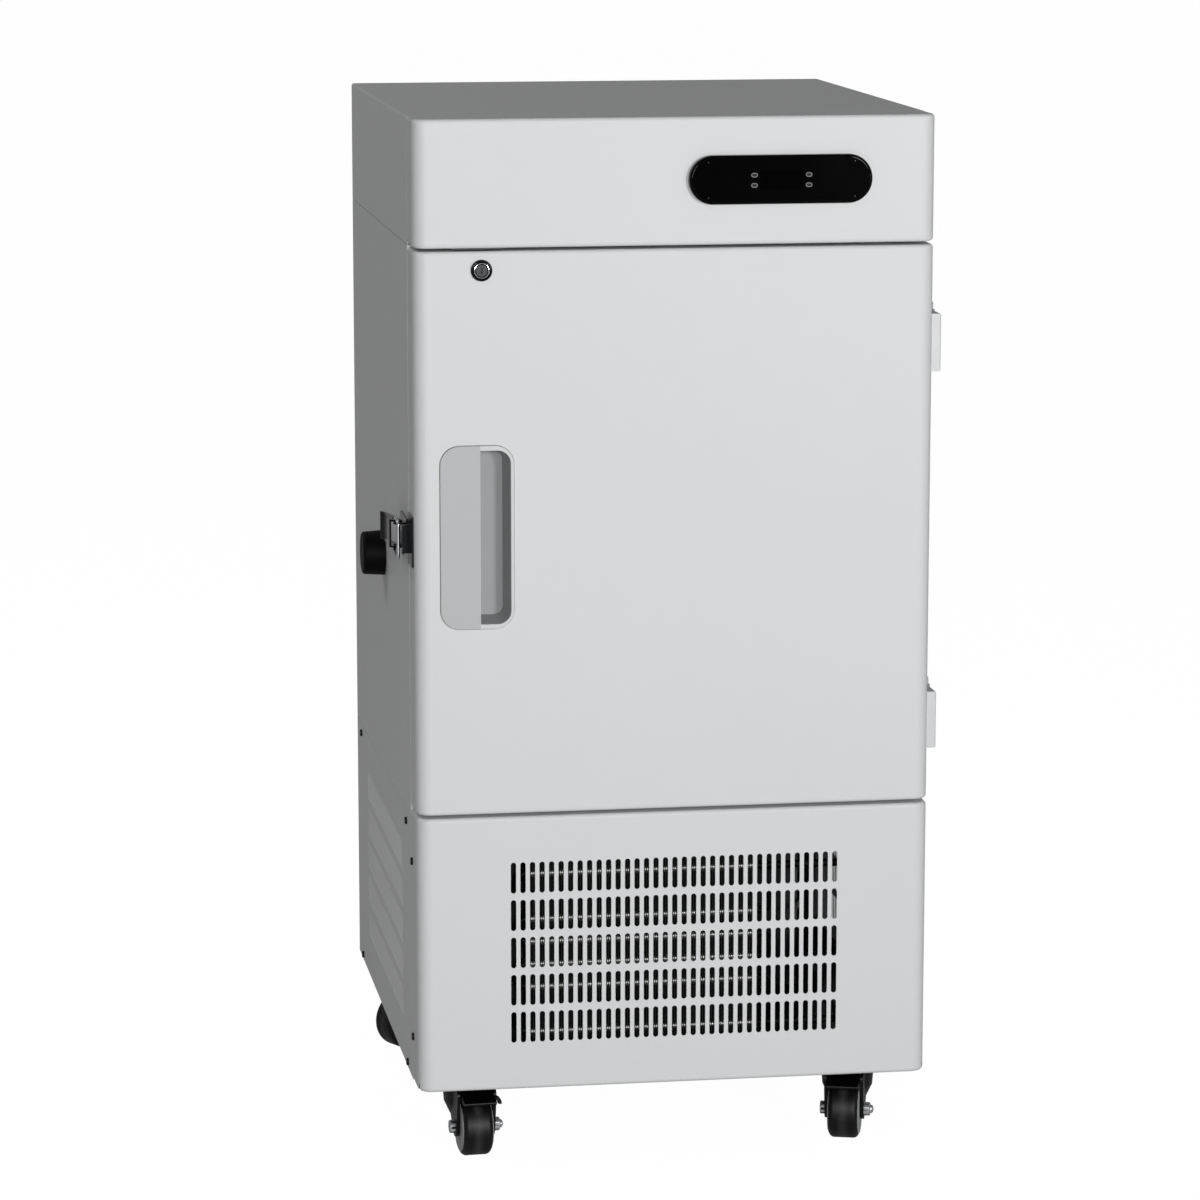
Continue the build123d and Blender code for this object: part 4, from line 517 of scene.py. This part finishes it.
def finish_piece(piece: bpy.types.Object, body: str, coat: Coat,
                 sharp: float = SHARP_EDGE) -> None:
    """Gives a new piece its shading, finish and body.

    Args:
        piece: The new object.
        body: The body that it moves with.
        coat: Its finish.
        sharp: The angle in degrees past which an edge stays sharp.
    """
    smooth(piece, sharp)
    piece.data.materials.append(coat.material)
    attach(piece, body)
    LOG.info("piece %s rides on %s", piece.name, body)


def wear(material: bpy.types.Material, nodes: Iterable[str]) -> None:
    """Gives solid nodes a material in place of their plain colour."""
    for name in nodes:
        materials = frame["nodes"][name].data.materials
        materials.clear()
        materials.append(material)
        LOG.info("node %s dressed in %s", name, material.name)


def dress(coat: Coat, nodes: Iterable[str]) -> None:
    """Gives solid nodes one of the cabinet's finishes."""
    wear(coat.material, nodes)


def joint(name: str) -> Values:
    """Gives a joint's entry in the record."""
    return next(entry for entry in frame["joints"] if entry["name"] == name)


def middle(node: str) -> Array:
    """Gives the middle of a node's box."""
    low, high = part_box(node)
    return (np.array(low) + np.array(high)) / 2


class SubAssembly:
    """A group of pieces that are made and finished together."""

    def build(self) -> None:
        """Makes the new pieces, if the group has any."""

    def dress(self) -> None:
        """Finishes the group's solid nodes."""


@dataclass
class Cabinet(SubAssembly):
    """The painted case with its back, base, screws, seam strips and the lock's strike strip."""

    strike_width: float = 50.0
    strike_right: float = 10.0
    strike_depth: float = 11.0
    strike_sheet: float = 1.2
    strike_back: float = 4.0
    seam_behind: float = 1.5
    seam_sheet: float = 1.0
    seam_below: float = 6.0
    seam_above: float = 8.0
    seam_end: float = 10.0
    # Each panel with a seam over it, the axis that it faces along, and 0 or 1 for its lower or upper side
    seam_panels: tuple[tuple[str, int, int], ...] = (
        ("left_service_panel", 0, 0), ("right_service_panel", 0, 1), ("rear_grille_panel", 1, 1))

    def build(self) -> None:
        """Makes the strike strip over the lock and the strips behind the panels' seams."""
        self.strike_strip()
        self.seam_strips()

    def seam_strips(self) -> None:
        """A flat strip behind the top edge of each seamed panel, which closes the seam above it."""
        near, far = self.seam_behind * MM, (self.seam_behind + self.seam_sheet) * MM
        for node, axis, side in self.seam_panels:
            corners = np.array(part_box(node))
            outer, top = corners[side, axis], corners[1, 2]
            inward = 1 - 2 * side
            low = corners[0] + self.seam_end * MM
            high = corners[1] - self.seam_end * MM
            low[axis], high[axis] = sorted((outer + inward * near, outer + inward * far))
            low[2], high[2] = top - self.seam_below * MM, top + self.seam_above * MM
            seam = boxes(f"{node}_seam_strip", low[None], high[None])
            finish_piece(seam, "cabinet", Coat.POWDER)

    def strike_strip(self) -> None:
        """A flat strip under the control head, which the lock's cam slides behind."""
        low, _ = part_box("control_fascia")
        left = middle("lock_core")[0] + (self.strike_right - self.strike_width / 2) * MM
        start = np.array([[left, low[1] + self.strike_back * MM, low[2] - self.strike_sheet * MM]])
        size = np.array([[self.strike_width, self.strike_depth, self.strike_sheet]]) * MM
        strike = boxes("lock_strike_strip", start, start + size)
        finish_piece(strike, "cabinet", Coat.BLACK_OXIDE)

    def dress(self) -> None:
        """Paints the sheets and finishes the base."""
        dress(Coat.POWDER, ["cabinet_shell", "top_cover", "control_fascia", "grille_panel",
                            "left_service_panel", "right_service_panel"])
        dress(Coat.GALVANISED, ["rear_panel", "rear_grille_panel"])
        dress(Coat.E_COAT, ["base_frame"])
        dress(Coat.DARK_MIRROR, ["panel_screws"])
        dress(Coat.NYLON, ["mains_inlet"])


@dataclass
class ColdChamber(SubAssembly):
    """The insulated chamber with its liner, shelves and access port."""

    def dress(self) -> None:
        """Finishes the chamber's pieces."""
        dress(Coat.STAINLESS, ["chamber_liner", "shelves", "shelf_rails", "temperature_probe"])
        dress(Coat.FORMED_ABS, ["throat_frame", "port_sleeve"])
        dress(Coat.FOAM, ["insulation_foam"])
        dress(Coat.COPPER, ["evaporator_coil"])
        dress(Coat.RUBBER, ["port_stopper"])


@dataclass
class Door(SubAssembly):
    """The hinged door with its gasket, handle and cam lock."""

    ring_radius: float = 7.4
    ring_wall: float = 0.45
    ring_points: int = 12
    ring_segments: int = 64

    def build(self) -> None:
        """Makes the bright ring where the lock's barrel meets its turning core.

        The ring is a torus: its section is a full circle of the wall's radius about the ring's radius.
        """
        low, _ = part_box("lock_barrel")
        centre = middle("lock_barrel")
        v = np.linspace(0.0, 2 * np.pi, self.ring_points)
        section = np.stack([self.ring_radius + self.ring_wall * np.cos(v), self.ring_wall * np.sin(v)], 1)
        ring = turned("lock_ring", section, (centre[0], low[1], centre[2]), FRONT, self.ring_segments)
        finish_piece(ring, "door", Coat.CHROME)

    def dress(self) -> None:
        """Finishes the door's pieces."""
        dress(Coat.POWDER, ["door_skin"])
        dress(Coat.FOAM, ["door_foam"])
        dress(Coat.FORMED_ABS, ["door_liner"])
        dress(Coat.GASKET, ["door_gasket"])
        dress(Coat.HANDLE_ABS, ["handle_frame"])
        dress(Coat.CUP_ABS, ["handle_cup"])
        dress(Coat.SATIN_PLATE, ["hinge_door_leaves"])
        dress(Coat.DARK_MIRROR, ["latch_keeper", "lock_barrel"])
        dress(Coat.BLACK_OXIDE, ["lock_core"])


@dataclass
class ControlHead(SubAssembly):
    """The black display pod with its window, keys and board."""

    ring_inset: float = 0.5
    ring_width: float = 0.55
    ring_lift: float = 0.12
    ring_root: float = 0.1
    ring_straight: float = 0.02
    stud_radius: float = 1.1
    stud_spread: tuple[float, float] = (152.0, 36.0)
    stud_rise: float = 0.35
    stud_root: float = 0.3
    stud_segments: int = 20
    key_size: tuple[float, float] = (7.5, 5.2)
    key_count: int = 4

    def build(self) -> None:
        """Makes the printed key rings and the four corner studs."""
        for number in range(1, self.key_count + 1):
            self.key_ring(number)
        self.corner_studs()

    def key_ring(self, number: int) -> None:
        """A printed oval on a key: a flat band carried round the key's own outline."""
        low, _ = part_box(f"key_{number}")
        centre = middle(f"key_{number}")
        inset = (self.ring_inset + self.ring_width * np.array([0, 0, 1, 1, 0])) * MM
        rise = np.where([0, 1, 1, 0, 0], self.ring_lift, -self.ring_root) * MM
        size = np.array(self.key_size) * MM
        band = rounded_ring(size, (size[1] - self.ring_straight * MM) / 2, inset, rise)
        points = on_front(band, (centre[0], low[1], centre[2]))
        ring = put_mesh(f"key_ring_{number}", points, grid_faces(len(inset), band.shape[1], True))
        finish_piece(ring, f"key_{number}", Coat.PRINT)

    def corner_studs(self) -> None:
        """Four small domes near the pod's corners, where its cover clips on."""
        low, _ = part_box("display_pod")
        centre = middle("display_pod")
        dome = [(self.stud_radius, -self.stud_root), (self.stud_radius, 0.0),
                (self.stud_radius * 0.7, self.stud_rise * 0.8), (0.0, self.stud_rise)]
        across, up = np.array(self.stud_spread) * MM / 2
        for index, (side, level) in enumerate(((-1, -1), (1, -1), (-1, 1), (1, 1)), 1):
            place = (centre[0] + side * across, low[1], centre[2] + level * up)
            stud = turned(f"pod_stud_{index}", dome, place, FRONT, self.stud_segments)
            finish_piece(stud, "cabinet", Coat.DARK_MIRROR)

    def dress(self) -> None:
        """Finishes the pod's pieces."""
        dress(Coat.GLOSS_BLACK, ["display_pod"])
        dress(Coat.SMOKED, ["display_window"])
        dress(Coat.KEY_CAP, [f"key_{number}" for number in range(1, self.key_count + 1)])
        dress(Coat.BOARD, ["controller_board"])


@dataclass
class MachineBay(SubAssembly):
    """The compressor, condenser and fan behind the slotted panels."""

    fin_pitch: float = 2.0
    fin_wall: float = 0.7
    fin_lead: float = 0.6
    fin_margin: float = 8.0
    guide_gap: float = 3.0
    guide_wall: float = 1.2

    def build(self) -> None:
        """Makes the condenser's fins and the black plate that keeps air from slipping past it and stands as
        painted shade behind the left slots.
        """
        self.fins()
        self.air_guide_shade_plate()

    def air_guide_shade_plate(self) -> None:
        """A black plate that closes the gap between the condenser's left end and the cabinet's side: an air
        guide, and painted shade seen through the left slots.
        """
        low, high = (np.array(corner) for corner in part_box("condenser_core"))
        side_low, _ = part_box("left_service_panel")
        start = np.array([[side_low[0] + self.guide_gap * MM, high[1] - self.guide_wall * MM, low[2]]])
        plate = boxes("air_guide_shade_plate", start, np.array([[low[0], high[1], high[2]]]))
        finish_piece(plate, "cabinet", Coat.E_COAT)

    def fins(self) -> None:
        """Thin upright plates round the tubes."""
        tubes_low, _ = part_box("condenser_tubes")
        core_low, core_high = (np.array(corner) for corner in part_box("condenser_core"))
        margin = self.fin_margin * MM
        x = np.arange(core_low[0] + margin / 2, core_high[0] - margin / 2, self.fin_pitch * MM)
        ones = np.ones_like(x)
        low = np.stack([x, ones * (tubes_low[1] - self.fin_lead * MM), ones * (core_low[2] + margin)], 1)
        high = np.stack([x + self.fin_wall * MM, ones * (core_high[1] - margin / 2),
                         ones * (core_high[2] - margin)], 1)
        fins = boxes("condenser_fins", low, high)
        finish_piece(fins, "cabinet", Coat.FIN_PACK)

    def dress(self) -> None:
        """Finishes the bay's pieces."""
        # The fins' near-black colour is painted shade of the bay
        dress(Coat.FIN_PACK, ["condenser_core"])
        dress(Coat.TINNED, ["condenser_tubes"])
        dress(Coat.RUBBER, ["refrigerant_lines"])
        dress(Coat.E_COAT, ["fan_shroud"])
        dress(Coat.ENAMEL, ["compressor", "fan_motor"])
        dress(Coat.RUBBER, ["compressor_feet"])
        dress(Coat.NYLON, ["fan_blade"])


@dataclass
class DrawLatch(SubAssembly):
    """The latch and the hinges' cabinet leaves."""

    def dress(self) -> None:
        """Finishes the latch and hinges."""
        dress(Coat.CHROME, ["latch_bail"])
        dress(Coat.SATIN_PLATE, ["hinge_fixed_leaves"])
        dress(Coat.DARK_MIRROR, ["latch_base", "latch_lever"])


@dataclass
class Casters(SubAssembly):
    """Four swivel casters with zinc axle hardware, grey thread guards, brake shoes and one release tab."""

    corners: tuple[str, ...] = ("fl", "fr", "rl", "rr")
    braked: tuple[str, ...] = ("fl", "fr")
    half_span: float = 21.0
    head_flats: float = 12.6
    nut_flats: float = 13.6
    bolt_segments: int = 48
    bolt_sharp: float = 25.0
    guard_segments: int = 64
    head: list[tuple[float, float]] = field(default_factory=lambda: [
        (0.0, -0.1), (7.4, -0.1), (7.4, 4.9), (6.4, 5.5), (0.0, 5.5)])
    nut: list[tuple[float, float]] = field(default_factory=lambda: [
        (0.0, -0.1), (8.4, -0.1), (8.4, 0.9), (7.5, 1.0), (7.5, 5.6), (6.3, 6.4), (4.6, 6.6), (4.4, 8.2),
        (3.4, 9.3), (1.8, 9.9), (0.0, 10.0)])
    guard: list[tuple[float, float]] = field(default_factory=lambda: [
        (10.8, 15.8), (10.8, 16.6), (12.0, 17.1), (25.0, 16.9), (27.0, 16.1), (27.0, 15.8)])
    tab_line: list[tuple[float, float]] = field(default_factory=lambda: [
        (14.0, 66.5), (23.0, 70.0), (22.6, 61.8)])
    tab_out: tuple[float, float] = (50.0, 58.0)
    tab_wall: float = 3.6
    curve_steps: int = 14
    shoe_arc: tuple[float, float] = (95.0, 140.0)
    shoe_radii: tuple[float, float] = (33.0, 38.0)
    shoe_half: float = 15.5

    def build(self) -> None:
        """Makes each caster's axle hardware and guards, the brake shoes and one pedal's release tab."""
        for corner in self.corners:
            roll = joint(f"roll_{corner}")
            centre, axis = np.array(roll["pos_m"]), unit(roll["axis"])
            self.hardware(corner, centre, axis)
            if corner in self.braked:
                self.brake_shoe(corner, centre, axis)
        self.release_tab(self.braked[0])

    def hardware(self, corner: str, centre: Array, axis: Array) -> None:
        """Puts a hexagon head and a domed nut on the axle, and a thread guard on each side of the wheel.

        Args:
            corner: The caster that takes the pieces.
            centre: The axle's middle.
            axis: The axle's direction.
        """
        reach = axis * self.half_span * MM
        head = turned(f"axle_head_{corner}", self.head, centre - reach, -axis, self.bolt_segments,
                      self.head_flats)
        nut = turned(f"axle_nut_{corner}", self.nut, centre + reach, axis, self.bolt_segments, self.nut_flats)
        for piece in (head, nut):
            finish_piece(piece, f"fork_{corner}", Coat.ZINC, self.bolt_sharp)
        for side, word in ((-1, "left"), (1, "right")):
            guard = turned(f"thread_guard_{word}_{corner}", self.guard, centre, axis * side,
                           self.guard_segments)
            finish_piece(guard, f"wheel_{corner}", Coat.WHEEL_CORE)

    def brake_shoe(self, corner: str, centre: Array, axis: Array) -> None:
        """A curved shoe over the wheel, which stops it when the pedal is down.

        P(a, c) = C + r(c) (cos a F + sin a Z) + s(c) A, with C and A the axle's centre and axis, F the
        wheel's forward direction and c the section's corner.

        Args:
            corner: The caster that has the shoe.
            centre: The axle's middle.
            axis: The axle's direction.
        """
        forward = np.cross(axis, UP)
        a = np.radians(np.linspace(*self.shoe_arc, self.curve_steps))[:, None]
        spoke = (np.cos(a) * forward + np.sin(a) * UP)[:, None]
        radius = np.array(self.shoe_radii)[[0, 0, 1, 1]] * MM
        side = np.array([-1, 1, 1, -1]) * self.shoe_half * MM
        sections = centre + radius[None, :, None] * spoke + side[None, :, None] * axis
        shoe = strip(f"brake_shoe_{corner}", sections)
        finish_piece(shoe, f"fork_{corner}", Coat.E_COAT)

    def release_tab(self, corner: str) -> None:
        """A strip that leaves the pedal's end sideways and hooks down.

        P(t, c) = C(t) + s(c) N(t) + o(c) F, with C the quadratic curve through the line's ends, pulled
        by its middle point, N its normal, F the wheel's forward direction and c the section's corner.

        Args:
            corner: The caster whose pedal has the tab.
        """
        pivot = np.array(joint(f"swivel_{corner}")["pos_m"]) * (1, 1, 0)
        right = unit(joint(f"roll_{corner}")["axis"])
        forward = np.cross(right, UP)
        t = np.linspace(0.0, 1.0, self.curve_steps)[:, None]
        start, pull, end = np.array(self.tab_line) * MM
        line = (1 - t) ** 2 * start + 2 * t * (1 - t) * pull + t**2 * end
        slope = 2 * (1 - t) * (pull - start) + 2 * t * (end - pull)
        normal = np.stack([-slope[:, 1], slope[:, 0]], 1) / np.linalg.norm(slope, axis=1)[:, None]
        side = np.array([-0.5, -0.5, 0.5, 0.5]) * self.tab_wall * MM
        reach = np.array(self.tab_out)[[0, 1, 1, 0]] * MM
        flat = line[:, None] + side[None, :, None] * normal[:, None]
        points = pivot + flat[..., :1] * right + reach[None, :, None] * forward + flat[..., 1:] * UP
        tab = strip(f"release_tab_{corner}", points)
        finish_piece(tab, f"pedal_{corner}", Coat.E_COAT)

    def dress(self) -> None:
        """Finishes the casters' pieces."""
        dress(Coat.E_COAT, ["caster_plates", *(f"caster_fork_{corner}" for corner in self.corners)])
        dress(Coat.E_COAT, [f"brake_pedal_{corner}" for corner in self.braked])
        for corner in self.corners:
            roll = joint(f"roll_{corner}")
            # Moulded wheel: dull black, greyed along its rolling line
            tread = WornTread(f"moulded_wheel_{corner}", "#080809", 0.45, specular=0.3, tint=0.3, patch_mm=9,
                              grain_mm=2.2, relief_mm=0.06, bump=0.4, scatter=0.1,
                              centre=tuple(roll["pos_m"]), axis=tuple(unit(roll["axis"])))
            wear(tread.material(), [f"caster_wheel_{corner}"])


@dataclass(frozen=True)
class Lamp:
    """A soft box: a rectangular panel of light aimed at the cabinet."""

    name: str
    place: tuple[float, float, float]
    size: tuple[float, float]
    watts: float

    def build(self, target: Vector) -> None:
        """Hangs the lamp and turns it to its target."""
        light = bpy.data.lights.new(self.name, "AREA")
        light.shape = "RECTANGLE"
        light.size, light.size_y = self.size
        light.energy = self.watts
        holder = bpy.data.objects.new(self.name, light)
        holder.location = self.place
        holder.rotation_euler = (target - Vector(self.place)).to_track_quat("-Z", "Y").to_euler()
        bpy.context.scene.collection.objects.link(holder)


@dataclass
class Studio:
    """The pale floor, the white surroundings, the lamps and the camera."""

    camera_place: tuple[float, float, float] = (-0.7824, -4.8033, 1.4149)
    camera_yaw: float = -0.155
    camera_pitch: float = -0.1758
    lens: float = 134.84
    sensor: float = 36.0
    view_depth: float = 200.0
    floor_half: float = 30.0
    surround: float = 0.17
    gloss_share: float = 0.12
    floor_share: float = 0.9
    floor_white: float = 1.09
    floor_colour: str = "#c4c4c4"
    target: tuple[float, float, float] = (0.0, -0.2, 0.6)
    lamps: tuple[Lamp, ...] = (
        Lamp("key_light", (1.9, -5.5, 1.4), (0.8, 1.6), 112.0),
        Lamp("front_light", (-0.8, -5.5, 1.5), (0.4, 1.4), 98.0),
        Lamp("left_strip", (-2.6, -4.6, 0.6), (0.12, 0.5), 4.0),
        Lamp("right_strip", (3.0, -4.6, 0.6), (0.2, 0.9), 12.0),
        Lamp("side_light", (-3.0, 2.0, 3.8), (1.0, 1.6), 32.0),
    )

    def build(self) -> None:
        """Sets up the stage."""
        self.floor()
        self.surroundings()
        for lamp in self.lamps:
            lamp.build(Vector(self.target))
        self.camera()
        bpy.context.scene.view_settings.view_transform = "Standard"

    def white_share(self, tree: bpy.types.NodeTree, share: float) -> Any:
        """Gives how white the background is to a ray: full to the eye and glass, dimmed in a gloss.

        Args:
            tree: The nodes of the floor or of the surroundings.
            share: The white's share where the eye sees it.

        Returns:
            A socket with the share.
        """
        rays = add_node(tree, "ShaderNodeLightPath").outputs
        gloss = add_node(tree, "ShaderNodeMath", {"operation": "MULTIPLY"}, {1: self.gloss_share},
                         {0: rays["Is Glossy Ray"]})
        seen = add_node(tree, "ShaderNodeMath", {"operation": "MAXIMUM"},
                        links={0: rays["Is Camera Ray"], 1: gloss.outputs[0]})
        shown = add_node(tree, "ShaderNodeMath", {"operation": "MAXIMUM"},
                         links={0: seen.outputs[0], 1: rays["Is Transmission Ray"]})
        scaled = add_node(tree, "ShaderNodeMath", {"operation": "MULTIPLY"}, {1: share},
                          {0: shown.outputs[0]})
        return scaled.outputs[0]

    def floor(self) -> None:
        """A flat pale floor that keeps the shadow and otherwise shows as white."""
        half = self.floor_half
        points = np.array([[-half, -half, 0], [half, -half, 0], [half, half, 0], [-half, half, 0]], float)
        floor = put_mesh("studio_floor", points, np.array([[0, 1, 2, 3]]))
        material = bpy.data.materials.new("matte_studio_floor")
        material.use_nodes = True
        tree = material.node_tree
        tree.nodes.clear()
        matte = add_node(tree, "ShaderNodeBsdfDiffuse", values={"Color": linear(self.floor_colour)})
        white = add_node(tree, "ShaderNodeEmission", values={"Strength": self.floor_white})
        mixed = add_node(tree, "ShaderNodeMixShader", links={
            0: self.white_share(tree, self.floor_share), 1: matte.outputs[0], 2: white.outputs[0]})
        add_node(tree, "ShaderNodeOutputMaterial", links={"Surface": mixed.outputs[0]})
        floor.data.materials.append(material)

    def surroundings(self) -> None:
        """An even grey light all round that shows as white."""
        world = bpy.data.worlds.new("studio_surround")
        bpy.context.scene.world = world
        world.use_nodes = True
        tree = world.node_tree
        tree.nodes.clear()
        soft = add_node(tree, "ShaderNodeBackground", values={"Strength": self.surround})
        white = add_node(tree, "ShaderNodeBackground", values={"Color": linear("#ffffff"), "Strength": 1.0})
        mixed = add_node(tree, "ShaderNodeMixShader", links={
            0: self.white_share(tree, 1.0), 1: soft.outputs[0], 2: white.outputs[0]})
        add_node(tree, "ShaderNodeOutputWorld", links={"Surface": mixed.outputs[0]})

    def camera(self) -> None:
        """A long lens to the left of the door and a little above the top."""
        lens = bpy.data.cameras.new("photo_camera")
        lens.lens, lens.sensor_width, lens.sensor_fit = self.lens, self.sensor, "HORIZONTAL"
        lens.clip_end = self.view_depth
        holder = bpy.data.objects.new("photo_camera", lens)
        holder.location = self.camera_place
        holder.rotation_euler = (math.pi / 2 + self.camera_pitch, 0.0, self.camera_yaw)
        bpy.context.scene.collection.objects.link(holder)
        bpy.context.scene.camera = holder


def main() -> None:
    """Builds and dresses each sub-assembly, then the studio."""
    logging.basicConfig(level=logging.INFO, format="%(name)s: %(message)s")
    for assembly in (Cabinet(), ColdChamber(), Door(), ControlHead(), MachineBay(), DrawLatch(), Casters()):
        assembly.build()
        assembly.dress()
    Studio().build()


if __name__ == "__main__":
    main()
